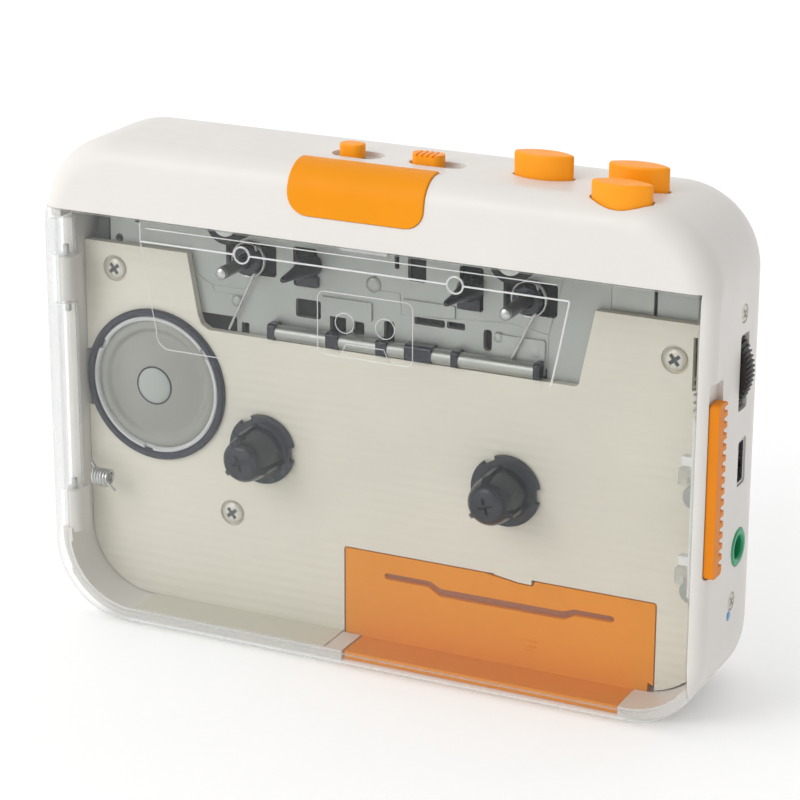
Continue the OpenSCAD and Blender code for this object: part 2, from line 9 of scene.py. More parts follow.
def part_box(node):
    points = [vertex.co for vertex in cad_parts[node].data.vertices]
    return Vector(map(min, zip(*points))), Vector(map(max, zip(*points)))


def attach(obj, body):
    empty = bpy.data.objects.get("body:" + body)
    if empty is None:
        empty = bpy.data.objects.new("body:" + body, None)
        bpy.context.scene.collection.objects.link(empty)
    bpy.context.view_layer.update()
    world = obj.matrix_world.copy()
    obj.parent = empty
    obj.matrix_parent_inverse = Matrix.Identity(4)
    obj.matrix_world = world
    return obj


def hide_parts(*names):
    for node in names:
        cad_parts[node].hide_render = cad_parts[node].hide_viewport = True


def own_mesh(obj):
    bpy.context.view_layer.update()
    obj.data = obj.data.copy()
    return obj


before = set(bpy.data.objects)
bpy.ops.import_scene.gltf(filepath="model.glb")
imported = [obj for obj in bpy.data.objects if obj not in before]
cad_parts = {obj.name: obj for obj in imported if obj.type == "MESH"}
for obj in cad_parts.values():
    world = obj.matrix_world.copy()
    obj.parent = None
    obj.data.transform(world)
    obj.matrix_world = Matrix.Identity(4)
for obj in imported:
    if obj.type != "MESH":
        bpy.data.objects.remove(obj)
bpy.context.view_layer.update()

MM = 0.001
FAR = 150.0  # beyond the object on every side, in millimetres


# ---- values read from the frame, in millimetres ----

def box(node):
    """Lowest and highest corner of a CAD node."""
    lo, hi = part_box(node)
    return lo / MM, hi / MM


def middle(node):
    lo, hi = box(node)
    return (lo + hi) / 2


shell_lo, shell_hi = box("main_shell")
SIDE_X = shell_hi.x
FRONT_Y = shell_lo.y
BACK_Y = box("rear_cover")[1].y
SPLIT_Y = shell_hi.y  # where the front and the rear moulding meet
TOP_Z = shell_hi.z
CORNER_R = 13.0
REAR_R = 12.9
FOOT_R = 10.0
SHOULDER_R = 4.5
LIP_R = 2.5
WALL = 1.7
DOOR_T = 1.5
DOOR_RIGHT = SIDE_X - 2.5
DOOR_TOP = box("door")[1].z
RIM_Y = FRONT_Y + 3.0
INNER_X = SIDE_X - WALL
HINGE_X = -SIDE_X + DOOR_T
HINGE_Y = middle("hinge_pins").y
HINGE_LOW, HINGE_HIGH = 14.0, 66.5  # ends of the hinge side of the door
GAP = 0.3
panel_lo, panel_hi = box("chassis_panel")
PANEL_Y = panel_lo.y
PANEL_BACK = PANEL_Y + 1.4
PANEL_TOP = panel_hi.z
PLATE_Y = box("mechanism_plate")[0].y


# ---- mesh helpers: solids are drawn in millimetres ----

scratch = bpy.data.collections.new("scratch")
bpy.context.scene.collection.children.link(scratch)


def show(name, data, group=None):
    """A new object, in the scene or in another collection."""
    obj = bpy.data.objects.new(name, data)
    (group or bpy.context.scene.collection).objects.link(obj)
    return obj


def mesh_from(bm, name="solid"):
    mesh = bpy.data.meshes.new(name)
    bm.to_mesh(mesh)
    bm.free()
    return mesh


def solid_from(bm):
    """A scratch object from a bmesh."""
    bmesh.ops.recalc_face_normals(bm, faces=bm.faces)
    return show("solid", mesh_from(bm), scratch)


def skin(bm, loops, closed=False):
    """A solid through loops of vertices; it has flat ends unless the last loop meets the first."""
    pairs = list(zip(loops, loops[1:]))
    if closed:
        pairs.append((loops[-1], loops[0]))
    else:
        bm.faces.new(loops[0])
        bm.faces.new(loops[-1])
    count = len(loops[0])
    for a, b in pairs:
        for i in range(count):
            j = (i + 1) % count
            bm.faces.new((a[i], a[j], b[j], b[i]))
    return solid_from(bm)


def place(axis, u, v, w):
    """A point from in-plane coordinates u, v and the height w along axis."""
    return Vector({"x": (w, u, v), "y": (u, w, v), "z": (u, v, w)}[axis])


def prism(points, low, high, axis="y"):
    """A flat outline made solid from low to high along axis."""
    bm = bmesh.new()
    return skin(bm, [[bm.verts.new(place(axis, u, v, w)) for u, v in points] for w in (low, high)])


def block(x0, y0, z0, x1, y1, z1):
    return prism([(x0, z0), (x1, z0), (x1, z1), (x0, z1)], y0, y1)


def lathe(profile, centre, axis="y", steps=48):
    """A closed profile of (radius, place along axis) turned round axis."""
    bm = bmesh.new()
    rings = []
    for k in range(steps):
        a = 2 * math.pi * k / steps
        rings.append([
            bm.verts.new(place(axis, centre[0] + r * math.cos(a), centre[1] + r * math.sin(a), w))
            if r > 0 else None for r, w in profile])
    poles = {i: bm.verts.new(place(axis, centre[0], centre[1], w))
             for i, (r, w) in enumerate(profile) if r <= 0}
    count = len(profile)
    for k in range(steps):
        here, there = rings[k], rings[(k + 1) % steps]
        for i in range(count):
            j = (i + 1) % count
            if i in poles and j in poles:
                continue
            corners = []
            for loop, n in ((here, i), (here, j), (there, j), (there, i)):
                vert = poles.get(n) or loop[n]
                if vert not in corners:
                    corners.append(vert)
            bm.faces.new(corners)
    return solid_from(bm)


def rod(centre, r, low, high, axis="y", chamfer=0.0, steps=40):
    """A round bar along axis."""
    c = chamfer
    side = [(r - c, low), (r, low + c), (r, high - c), (r - c, high)] if c else [(r, low), (r, high)]
    return lathe([(0, low)] + side + [(0, high)], centre, axis, steps)


def ring(centre, outer, inner, low, high, chamfer=0.0):
    """A round sleeve along y."""
    c = chamfer
    profile = [(inner, low), (outer, low), (outer, high), (inner, high)]
    if c:
        profile = [(inner, low + c), (inner + c, low), (outer - c, low), (outer, low + c),
                   (outer, high - c), (outer - c, high), (inner + c, high), (inner, high - c)]
    return lathe(profile, centre)


def tube(path, radius, sides=10, closed=False):
    """A round wire along a list of points."""
    bm = bmesh.new()
    points = [Vector(p) for p in path]
    last = len(points) - 1
    loops = []
    side = None
    for i, p in enumerate(points):
        before = points[i - 1] if i or closed else points[0]
        after = points[(i + 1) % len(points)] if i < last or closed else points[-1]
        direction = (after - before).normalized()
        if side is None:
            other = Vector((0, 0, 1)) if abs(direction.z) < 0.8 else Vector((1, 0, 0))
            side = direction.cross(other).normalized()
        side = (side - direction * side.dot(direction)).normalized()
        up = direction.cross(side)
        loops.append([
            bm.verts.new(p + radius * (side * math.cos(a) + up * math.sin(a)))
            for a in (2 * math.pi * k / sides for k in range(sides))])
    return skin(bm, loops, closed)


def coil(centre, axis, radius, turns, length, start=0.0, steps=20):
    """Points of a helix that starts at centre and runs along axis."""
    total = int(turns * steps)
    points = []
    for i in range(total + 1):
        a = start + 2 * math.pi * i / steps
        points.append(Vector(centre) + place(axis, radius * math.cos(a), radius * math.sin(a),
                                             length * i / total))
    return points


def arc_points(cx, cz, r, start, end, steps=16):
    """Points on an arc between two angles in degrees."""
    angles = [math.radians(start + (end - start) * k / steps) for k in range(steps + 1)]
    return [(cx + r * math.cos(a), cz + r * math.sin(a)) for a in angles]


def rounded(x0, z0, x1, z1, r, steps=6):
    """Outline of a rectangle with round corners; r is one radius or four."""
    radii = [r] * 4 if isinstance(r, (int, float)) else r
    points = []
    for (x, z, start), rad in zip(((x0, z0, 180), (x1, z0, 270), (x1, z1, 0), (x0, z1, 90)), radii):
        cx = x + rad if x == x0 else x - rad
        cz = z + rad if z == z0 else z - rad
        points += arc_points(cx, cz, rad, start, start + 90, steps) if rad > 0 else [(x, z)]
    return points


def turned(points, centre, turn):
    """In-plane points turned round the origin and moved to centre."""
    c, s = math.cos(turn), math.sin(turn)
    return [(centre[0] + u * c - v * s, centre[1] + u * s + v * c) for u, v in points]


def ridge(points, y, width=0.28, height=0.22, closed=False):
    """A raised line with a flat oval section, on the front plane y."""
    obj = tube([(u, y, v) for u, v in points], width / 2, 8, closed)
    for v in obj.data.vertices:
        v.co.y = y + (v.co.y - y) * 2 * height / width
    return obj


def drop(obj):
    mesh = obj.data
    bpy.data.objects.remove(obj)
    bpy.data.meshes.remove(mesh)


def baked(piece):
    """Applies the modifiers of a piece."""
    graph = bpy.context.evaluated_depsgraph_get()
    graph.update()
    mesh = bpy.data.meshes.new_from_object(piece.evaluated_get(graph), preserve_all_data_layers=True,
                                           depsgraph=graph)
    piece.modifiers.clear()
    old = piece.data
    piece.data = mesh
    bpy.data.meshes.remove(old)
    mesh.name = piece.name
    return mesh


def carve(base, tools, operation="DIFFERENCE"):
    """Applies each tool to base with an exact boolean and removes the tools."""
    for tool in tools:
        mod = base.modifiers.new("carve", "BOOLEAN")
        mod.operation = operation
        mod.solver = "EXACT"
        mod.object = tool
        baked(base)
        drop(tool)
    return base


def merge(parts):
    """One scratch object that holds all parts as they are."""
    bm = bmesh.new()
    for part in parts:
        bm.from_mesh(part.data)
        drop(part)
    return show("solid", mesh_from(bm), scratch)


def edge_bevel(piece, width, segments, angle):
    mod = piece.modifiers.new("edges", "BEVEL")
    mod.width = width * MM
    mod.segments = segments
    mod.limit_method = "ANGLE"
    mod.angle_limit = math.radians(angle)


def soften(piece, bevel, segments, angle):
    """Rounds the sharp edges a little and smooths the shading."""
    if bevel > 0:
        edge_bevel(piece, bevel, segments, angle)
    mesh = baked(piece)
    mesh.shade_smooth()
    mesh.set_sharp_from_angle(angle=math.radians(38))
    mod = piece.modifiers.new("normals", "WEIGHTED_NORMAL")
    mod.keep_sharp = True
    mod.weight = 80
    baked(piece)


def publish(solid, name, material, body, nodes=(), bevel=0.0, segments=2, angle=32.0):
    """Turns a scratch solid, or a list of them, into a finished piece that may stand for CAD nodes."""
    obj = merge(solid) if isinstance(solid, list) else solid
    bm = bmesh.new()
    bm.from_mesh(obj.data)
    bmesh.ops.remove_doubles(bm, verts=bm.verts, dist=0.004)
    bmesh.ops.dissolve_degenerate(bm, edges=bm.edges, dist=0.004)
    bmesh.ops.scale(bm, vec=(MM, MM, MM), verts=bm.verts)
    mesh = mesh_from(bm, name)
    drop(obj)
    piece = show(name, mesh)
    mesh.materials.append(material)
    soften(piece, bevel, segments, angle)
    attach(piece, body)
    if nodes:
        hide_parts(*nodes)
    return piece


# ---- materials ----

def add(tree, kind, **values):
    """A shader node with its input values, given by socket name."""
    node = tree.nodes.new("ShaderNode" + kind)
    for name, value in values.items():
        node.inputs[name.replace("_", " ")].default_value = value
    return node


def remap(tree, value, source, target):
    """A value taken from one range to another."""
    node = add(tree, "MapRange", From_Min=source[0], From_Max=source[1], To_Min=target[0], To_Max=target[1])
    tree.links.new(value, node.inputs["Value"])
    return node.outputs["Result"]


def noise(tree, coords, scale, detail, distortion=0.0):
    node = add(tree, "TexNoise", Scale=scale, Detail=detail, Distortion=distortion)
    tree.links.new(coords, node.inputs["Vector"])
    return node.outputs["Fac"]


def bump(tree, height, strength, distance=0.0001):
    node = add(tree, "Bump", Strength=strength, Distance=distance)
    tree.links.new(height, node.inputs["Height"])
    return node


def blank(name):
    """A new material with its node tree, its shader and its object coordinates."""
    mat = bpy.data.materials.new(name)
    mat.use_nodes = True
    tree = mat.node_tree
    return mat, tree, tree.nodes["Principled BSDF"], add(tree, "TexCoord").outputs["Object"]


def surface(name, colour, roughness, metallic=0.0, grain=0.1, grain_scale=1500.0,
            stretch=(1, 1, 1), blotch=0.03, specular=0.5, coat=0.0, waves=0.0):
    """A procedural finish: grain in the bump, uneven roughness, faint wear and tone."""
    mat, tree, shader, coords = blank(name)
    link = tree.links.new
    shader.inputs["Metallic"].default_value = metallic
    shader.inputs["Specular IOR Level"].default_value = specular
    shader.inputs["Coat Weight"].default_value = coat
    shader.inputs["Coat Roughness"].default_value = 0.15
    # tone: slightly darker blotches
    tone = tree.nodes.new("ShaderNodeMix")
    tone.data_type = "RGBA"
    tone.inputs["A"].default_value = [c * (1 - 2.2 * blotch) for c in colour] + [1]
    tone.inputs["B"].default_value = list(colour) + [1]
    link(remap(tree, noise(tree, coords, 45.0, 4.0), (0.35, 0.6), (0, 1)), tone.inputs["Factor"])
    link(tone.outputs["Result"], shader.inputs["Base Color"])
    # wear: duller where it is rubbed
    rubbed = noise(tree, coords, 160.0, 5.0, 0.8)
    link(remap(tree, rubbed, (0.4, 0.75), (roughness, min(1.0, roughness + 0.12))),
         shader.inputs["Roughness"])
    # grain, and moulded lines over it
    mapping = add(tree, "Mapping", Scale=stretch)
    link(coords, mapping.inputs["Vector"])
    relief = bump(tree, noise(tree, mapping.outputs["Vector"], grain_scale, 3.0), grain)
    if waves > 0:
        lines = add(tree, "TexWave", Scale=190.0, Distortion=2.2, Detail=2.0, Detail_Scale=0.35)
        lines.bands_direction = "Z"
        link(coords, lines.inputs["Vector"])
        fine = relief
        relief = bump(tree, lines.outputs["Fac"], waves)
        link(fine.outputs["Normal"], relief.inputs["Normal"])
    link(relief.outputs["Normal"], shader.inputs["Normal"])
    return mat


def clear_surface(name, colour, haze, edge, roughness=0.08):
    """Clear plastic: see-through when faced, brighter towards grazing angles, with faint scuffs."""
    mat, tree, shader, coords = blank(name)
    link = tree.links.new
    shader.inputs["Base Color"].default_value = list(colour) + [1]
    shader.inputs["Specular IOR Level"].default_value = 0.6
    scuffs = noise(tree, coords, 240.0, 6.0, 1.2)
    link(remap(tree, scuffs, (0.45, 0.8), (roughness, roughness + 0.2)), shader.inputs["Roughness"])
    link(bump(tree, scuffs, 0.05, 0.0002).outputs["Normal"], shader.inputs["Normal"])
    # the share of the surface that shows, from the angle it is seen at; the same from either side
    facing = add(tree, "LayerWeight", Blend=0.5)
    steep = tree.nodes.new("ShaderNodeMath")
    steep.operation = "POWER"
    steep.inputs[1].default_value = 1.8
    link(facing.outputs["Facing"], steep.inputs[0])
    mix = tree.nodes.new("ShaderNodeMixShader")
    link(remap(tree, steep.outputs["Value"], (0, 1), (haze, edge)), mix.inputs["Fac"])
    link(add(tree, "BsdfTransparent", Color=(0.995, 0.996, 0.996, 1)).outputs["BSDF"], mix.inputs[1])
    link(shader.outputs["BSDF"], mix.inputs[2])
    link(mix.outputs["Shader"], tree.nodes["Material Output"].inputs["Surface"])
    return mat


shell_mat = surface("shell_plastic", (0.755, 0.727, 0.69), 0.36, grain=0.10, blotch=0.012)
orange_mat = surface("orange_plastic", (1.0, 0.35, 0.006), 0.36, grain=0.06, blotch=0.02, specular=0.28)
badge_mat = surface("badge_plastic", (0.86, 0.30, 0.004), 0.42, grain=0.05, blotch=0.02, specular=0.15)
slider_mat = surface("slider_plastic", (0.78, 0.235, 0.004), 0.4, grain=0.06, blotch=0.02, specular=0.2)
battery_mat = surface("battery_cover_plastic", (0.82, 0.29, 0.018), 0.5, grain=0.12, blotch=0.03,
                      specular=0.2)
# dark brown paint for the floor of the finger groove: painted shade in the groove
groove_shade_mat = surface("groove_painted_shade", (0.36, 0.13, 0.06), 0.55, grain=0.12)
panel_mat = surface("panel_plastic", (0.73, 0.70, 0.60), 0.55, grain=0.15, blotch=0.02, waves=0.50)
steel_plate_mat = surface("zinc_plate", (0.42, 0.44, 0.41), 0.42, metallic=0.5, grain=0.12,
                          grain_scale=900, stretch=(0.2, 1, 1), blotch=0.05)
dark_plate_mat = surface("dark_plate", (0.10, 0.11, 0.115), 0.5, metallic=0.3, grain=0.12, blotch=0.05)
steel_mat = surface("ground_steel", (0.55, 0.55, 0.54), 0.24, metallic=1.0, grain=0.05, blotch=0.04)
# steel darkened for the capstan shafts: painted shade; their tips keep the plain steel
shaded_steel_mat = surface("steel_painted_shade", (0.16, 0.16, 0.155), 0.28, metallic=1.0, grain=0.05, blotch=0.04)
screw_mat = surface("plated_screw", (0.66, 0.635, 0.56), 0.34, metallic=0.35, grain=0.08, blotch=0.03)
black_mat = surface("black_plastic", (0.009, 0.013, 0.024), 0.2, grain=0.08, blotch=0.10)
brass_mat = surface("turned_brass", (0.66, 0.48, 0.22), 0.28, metallic=1.0, grain=0.10, stretch=(1, 6, 1))
rubber_mat = surface("rubber", (0.022, 0.022, 0.022), 0.75, grain=0.25, blotch=0.12)
white_mat = surface("white_plastic", (0.80, 0.80, 0.77), 0.45, grain=0.10)
cone_mat = surface("cone_film", (0.32, 0.32, 0.285), 0.34, grain=0.06, blotch=0.04)
dome_mat = surface("dome_film", (0.40, 0.42, 0.395), 0.30, grain=0.05, blotch=0.03)
frame_mat = surface("speaker_frame", (0.014, 0.018, 0.036), 0.34, grain=0.10, blotch=0.08)
magnet_mat = surface("magnet_paint", (0.16, 0.16, 0.17), 0.5, metallic=0.4, grain=0.25)
board_mat = surface("solder_mask", (0.012, 0.11, 0.045), 0.3, grain=0.10, blotch=0.12)
wheel_mat = surface("wheel_plastic", (0.016, 0.013, 0.011), 0.38, grain=0.15, blotch=0.1)
jack_mat = surface("jack_plastic", (0.02, 0.34, 0.15), 0.32, grain=0.08)
keeper_mat = surface("keeper_steel", (0.40, 0.41, 0.38), 0.35, metallic=0.7, grain=0.10)
led_mat = surface("led_lens", (0.05, 0.28, 0.55), 0.18, grain=0.03, coat=0.6)
wrap_mat = surface("cell_wrap", (0.06, 0.13, 0.26), 0.3, grain=0.05)
# near-black paint for the sheets behind the plate windows: painted shade
painted_shade_mat = surface("painted_shade_black", (0.012, 0.012, 0.014), 0.7, grain=0.15, blotch=0.1)
clear_mat = clear_surface("clear_plastic", (0.74, 0.77, 0.76), 0.004, 0.80)
relief_mat = clear_surface("clear_relief", (0.95, 0.96, 0.96), 0.55, 0.92, 0.15)


# ---- the outer form of the case ----

def smooth_step(t):
    t = min(1.0, max(0.0, t))
    return t * t * (3 - 2 * t)


def front_radius(z):
    """Edge radius of the front at height z: small round the door, large at the shoulder."""
    return LIP_R + (SHOULDER_R - LIP_R) * smooth_step((z - 66.5) / 5.0)


def rear_radius(inward_z):
    """Edge radius round the back: a little tighter along the foot."""
    return REAR_R - (REAR_R - FOOT_R) * smooth_step(inward_z)


def outline(offset, arc_steps=22):
    """Points (x, z, inward x, inward z) round the case, moved out by offset."""
    points = []
    r = CORNER_R + offset
    cx = SIDE_X - CORNER_R
    corners = [(cx, CORNER_R, 270), (cx, TOP_Z - CORNER_R, 0),
               (-cx, TOP_Z - CORNER_R, 90), (-cx, CORNER_R, 180)]
    for n, (x, z, start) in enumerate(corners):
        for k in range(arc_steps + 1):
            a = math.radians(start + 90 * k / arc_steps)
            points.append((x + r * math.cos(a), z + r * math.sin(a), -math.cos(a), -math.sin(a)))
        # the straight run to the next corner
        x0, z0, ix, iz = points[-1]
        x1, z1 = corners[(n + 1) % 4][0] - r * ix, corners[(n + 1) % 4][1] - r * iz
        pieces = 22 if n % 2 == 0 else 10
        points += [(x0 + (x1 - x0) * k / pieces, z0 + (z1 - z0) * k / pieces, ix, iz)
                   for k in range(1, pieces)]
    return points


def case_form(offset=0.0, front_steps=10, rear_steps=14):
    """The closed outer form of the case, grown by offset."""
    bm = bmesh.new()
    rows = [(True, k / front_steps) for k in range(front_steps + 1)]
    rows += [(False, k / rear_steps) for k in range(rear_steps + 1)]
    points = outline(offset)
    loops = []
    for front, share in rows:
        a = math.pi / 2 * share
        loop = []
        for x, z, ix, iz in points:
            if front:
                r = front_radius(z) + offset
                inset, y = r * (1 - math.sin(a)), FRONT_Y - offset + r * (1 - math.cos(a))
            else:
                edge = rear_radius(iz)
                inset = (edge + offset) * (1 - math.cos(a))
                y = BACK_Y - edge + (edge + offset) * math.sin(a)
            loop.append(bm.verts.new((x + ix * inset, y, z + iz * inset)))
        loops.append(loop)
    return skin(bm, loops)


def key_outline(spot, grow=0.0, tip=0.8, steps=20):
    """Eye shape of a push key: two arcs with cut-off tips."""
    half_w, half_d = (KEY_W + tip) / 2, KEY_D / 2
    r = (half_w ** 2 + half_d ** 2) / (2 * half_d)
    x_end = KEY_W / 2 + grow
    points = []
    for sign in (-1, 1):
        for k in range(steps + 1):
            x = -sign * x_end * (2 * k / steps - 1)
            y = math.sqrt((r + grow) ** 2 - x * x) - (r - half_d)
            points.append((spot.x + x, spot.y + sign * y))
    return points


def slot_outline(x0, x1, y, half):
    """A slot with round ends along x."""
    return arc_points(x1, y, half, -90, 90, 10) + arc_points(x0, y, half, 90, 270, 10)


# positions of the controls, from the frame
play, forward, stop = (middle(name + "_button") for name in ("play", "fast_forward", "stop"))
power, mode = middle("power_switch"), middle("mode_switch")
key_lo, key_hi = box("play_button")
KEY_W = key_hi.x - key_lo.x
KEY_D = key_hi.y - key_lo.y
wheel = middle("volume_wheel")
wheel_lo, wheel_hi = box("volume_wheel")
WHEEL_T = wheel_hi.y - wheel_lo.y
slider_lo, slider_hi = box("open_slider")
led = middle("status_led")
JACK = tuple(middle("headphone_jack"))[1:]
USB = (JACK[0], middle("usb_socket").z)  # in line with the headphone socket
# fasteners: (y, z) on the side, (x, z) on the back and on the panel
SIDE_SCREWS = [(-1.9, 63.4), (-2.6, 18.2)]
POSTS = [(-40.5, 15.5), (-40.5, 57.0), (38.0, 21.5), (38.5, 57.5)]
PANEL_SCREWS = [(-49.1, 57.3), (46.9, 55.7), (-28.2, 18.7)]
HINGE_ZS = [16.5, 56.3]
speaker = middle("speaker_ring")
SPEAKER_R = box("speaker_ring")[1].x - speaker.x
hubs = {side: middle("hub_" + side) for side in ("left", "right")}
capstans = {side: middle("capstan_" + side) for side in ("left", "right")}


# ---- white case ----

def badge_zone(grow=0.0):
    """Where the badge lies over the shoulder."""
    lo, hi = box("badge_plate")
    pts = rounded(lo.x - grow, lo.z - grow, hi.x + grow, hi.z + 20, (3.2 + grow, 3.2 + grow, 0, 0))
    return prism(pts, -FAR, hi.y + grow)


def door_cutters(c):
    """Solids that cover the room of the door, with clearance c."""
    extra = DOOR_T + c if c > 0 else 0.0
    tools = [
        block(-FAR, -FAR, -FAR, DOOR_RIGHT + c, RIM_Y + c, DOOR_TOP + c),
        block(-FAR, -FAR, HINGE_LOW - c, HINGE_X + extra, HINGE_Y + (DOOR_T + 0.2 if c > 0 else 0),
              HINGE_HIGH + c),
    ]
    if c > 0:
        tools.append(block(-FAR, -FAR, -FAR, HINGE_X + c, RIM_Y + 0.8, DOOR_TOP + c))
    return tools


def wall_cutter(y0, z0, y1, z1, r, inner=INNER_X - 1):
    """A rounded opening in the right wall, from outside to the plane inner."""
    return prism(rounded(y0, z0, y1, z1, r), inner, SIDE_X + 1, "x")


def build_shell():
    shell = case_form()
    wy0, wy1 = wheel.y - WHEEL_T / 2 - 0.4, wheel.y + WHEEL_T / 2 + 0.4
    y, z = USB
    bat_lo, bat_hi = box("battery_cover")
    tools = [case_form(-WALL), block(-FAR, SPLIT_Y, -FAR, FAR, FAR, FAR)] + door_cutters(GAP) + [
        # side: wheel slot and pocket, power and headphone sockets, slider bed and slot
        wall_cutter(wy0, wheel.z - 5.9, wy1, wheel.z + 5.9, 0.5),
        block(INNER_X - 1, wy0, wheel.z - 6.9, SIDE_X - 0.7, wy1, wheel.z + 6.9),
        wall_cutter(y - 1.7, z - 3.7, y + 1.7, z + 3.7, 0.5),
        rod(JACK, 3.05, INNER_X - 1, SIDE_X + 1, "x"),
        wall_cutter(slider_lo.y - 0.2, slider_lo.z - 0.2, slider_hi.y + 0.2, slider_hi.z + 3.1, 0.6,
                    SIDE_X - 0.9),
        block(INNER_X - 1, slider_lo.y + 1, 34, SIDE_X + 1, slider_hi.y - 0.8, 47.1)]
    # side: screws and lamp
    tools += [rod(spot, 1.5, SIDE_X - 0.7, SIDE_X + 1, "x", steps=32) for spot in SIDE_SCREWS]
    tools.append(rod((led.y, led.z), 0.85, INNER_X - 1, SIDE_X + 1, "x", steps=24))
    # top: three keys and two switches, each switch with a shallow bed and a slot
    for spot, deep in ((play, 6.0), (forward, 6.0), (stop, 7.7)):
        tools.append(prism(key_outline(spot, 0.25), TOP_Z - deep, TOP_Z + 10, "z"))
    for spot, left, right, half, deep in ((power, 1.1, 3.1, 2.2, 0.8), (power, 0.6, 2.6, 1.1, 4.0),
                                          (mode, 1.4, 4.4, 1.8, 0.8), (mode, 0.6, 3.6, 1.1, 4.0)):
        pts = slot_outline(spot.x - left, spot.x + right, spot.y, half)
        tools.append(prism(pts, TOP_Z - deep, TOP_Z + 1, "z"))
    # bottom: battery cover
    tools += [block(bat_lo.x + 2.8, RIM_Y - 1, -1, bat_hi.x - 3.0, PANEL_BACK + 0.2, WALL + 0.6),
              block(bat_lo.x - 0.2, PANEL_Y - 0.2, -1, bat_hi.x + 0.2, PANEL_BACK + 0.2, WALL + 0.6)]
    carve(shell, tools)
    bed = badge_zone(0.08)
    carve(bed, [case_form(-0.8)])
    carve(shell, [bed])
    lugs = []
    for z in HINGE_ZS:
        lug = rod((HINGE_X, HINGE_Y), 1.3, z - 3.7, z + 3.7, "z", chamfer=0.2)
        foot = block(HINGE_X - 1.3, HINGE_Y, z - 3.7, HINGE_X + 1.3, HINGE_Y + 2.4, z + 3.7)
        lugs.append(carve(lug, [foot], "UNION"))
    publish([shell] + lugs, "case_front", shell_mat, "case", ["main_shell"], bevel=0.16)


def build_rear():
    rear = case_form()
    tools = [case_form(-WALL), block(-FAR, -FAR, -FAR, FAR, SPLIT_Y + 0.12, FAR)]
    for spot in POSTS:
        tools += [rod(spot, 2.3, BACK_Y - 1, BACK_Y + 1), rod(spot, 1.1, BACK_Y - 4, BACK_Y + 1)]
    carve(rear, tools)
    publish(rear, "case_rear", shell_mat, "case", ["rear_cover"], bevel=0.16)


def build_badge():
    badge = badge_zone()
    carve(badge, [case_form(0.3)], "INTERSECT")
    carve(badge, [case_form(-0.75)])
    publish(badge, "badge", badge_mat, "case", ["badge_plate"], bevel=0.22, segments=3)


# ---- clear door ----

def build_door():
    door = case_form()
    zone = door_cutters(0.0)
    zone = carve(zone[0], [zone[1]], "UNION")
    carve(door, [zone], "INTERSECT")
    carve(door, [case_form(-DOOR_T)])
    bead = rod((HINGE_X, HINGE_Y), DOOR_T, HINGE_LOW, HINGE_HIGH, "z")
    carve(door, [bead], "UNION")
    for z in HINGE_ZS:
        carve(door, [block(-FAR, HINGE_Y - 1.8, z - 4, HINGE_X + 3, HINGE_Y + 3, z + 4)])
    parts = [door]
    for z in (24.2, 39.8):
        hook = block(51.2, FRONT_Y + DOOR_T - 0.02, z, 52.7, FRONT_Y + 6.4, z + 2.4)
        tip = prism([(FRONT_Y + 5.4, z - 1.0), (FRONT_Y + 6.4, z - 1.0), (FRONT_Y + 6.4, z + 0.2),
                     (FRONT_Y + 4.9, z + 0.2)], 51.2, 52.7, "x")
        parts.append(carve(hook, [tip], "UNION"))
    publish(parts, "door_clear", clear_mat, "front_door", ["door"], bevel=0.12)


def build_relief():
    """Raised lines of the window on the door, and a plain cassette sign."""
    top = DOOR_TOP - 3.2
    left, right = -37.9, 34.2
    parts = [ridge([(x0, top), (x1, top)], FRONT_Y)
             for x0, x1 in ((left, -21.3), (-18.7, 14.6), (17.2, right))]
    parts += [ridge(arc_points(x, top, 1.3, 0, 345), FRONT_Y, closed=True) for x in (-20.0, 15.9)]
    bend = arc_points(-33.0, 51.2, 2.5, 190, 262, 6)
    parts += [ridge([(right, top), (32.9, 59.0), (31.5, 52.3)], FRONT_Y),
              ridge([(left, top), (-36.1, 55.1), (-35.4, 51.6)] + bend + [(-23.8, 48.7)], FRONT_Y,
                    0.12, 0.08),
              ridge([(left, top), (left, DOOR_TOP - 0.3)], FRONT_Y, 0.2),
              ridge([(-36.9, DOOR_TOP - 1.0), (32.1, DOOR_TOP - 1.0)], FRONT_Y, 0.16, 0.14)]
    # cassette sign: case, two reels and the label edge
    x, z = 1.0, 57.0
    loops = [rounded(x - 8, z - 5, x + 8, z + 5, 1.2)]
    loops += [arc_points(x + dx, z + 0.4, 1.6, 0, 345) for dx in (-3.4, 3.4)]
    parts += [ridge(loop, FRONT_Y, 0.12, 0.1, closed=True) for loop in loops]
    label = [(x - 4.2, z - 5), (x - 3.2, z - 2.9), (x + 3.2, z - 2.9), (x + 4.2, z - 5)]
    parts.append(ridge(label, FRONT_Y, 0.12, 0.1))
    publish(parts, "door_relief", relief_mat, "front_door")


# ---- cassette well: panel, battery cover, screws ----

CUT_OUT = [(-35.9, 90), (-35.7, PANEL_TOP), (-33.9, 51.4), (-33.3, 50.0), (-32.0, 49.25),
           (31.2, 49.2), (31.7, 49.6), (34.1, PANEL_TOP), (34.1, 90)]


def cross_screws(spots, low, r, h, axis, sign, depth, shank, sides=20):
    """Pan heads of radius r and height h with a cross recess, and their shanks.

    A head's top faces sign along axis, at low; the shank runs between the two places in shank.
    """
    profile = [(0, low), (0.55 * r, low), (0.85 * r, low - sign * 0.18 * h), (r, low - sign * 0.5 * h),
               (r, low - sign * h), (0, low - sign * h)]
    a, b = sorted((low + sign, low - sign * depth))
    parts = []
    for spot in spots:
        parts.append(carve(lathe(profile, spot, axis, 40), [prism(cross_points(spot, r), a, b, axis)]))
        parts.append(rod(spot, 0.8, *shank, axis, steps=sides))
    return parts


def cross_points(centre, r):
    w, reach = 0.17 * r, 0.6 * r
    pts = [(-w, -reach), (w, -reach), (w, -w), (reach, -w), (reach, w), (w, w), (w, reach),
           (-w, reach), (-w, w), (-reach, w), (-reach, -w), (-w, -w)]
    return turned(pts, centre, math.radians(38))


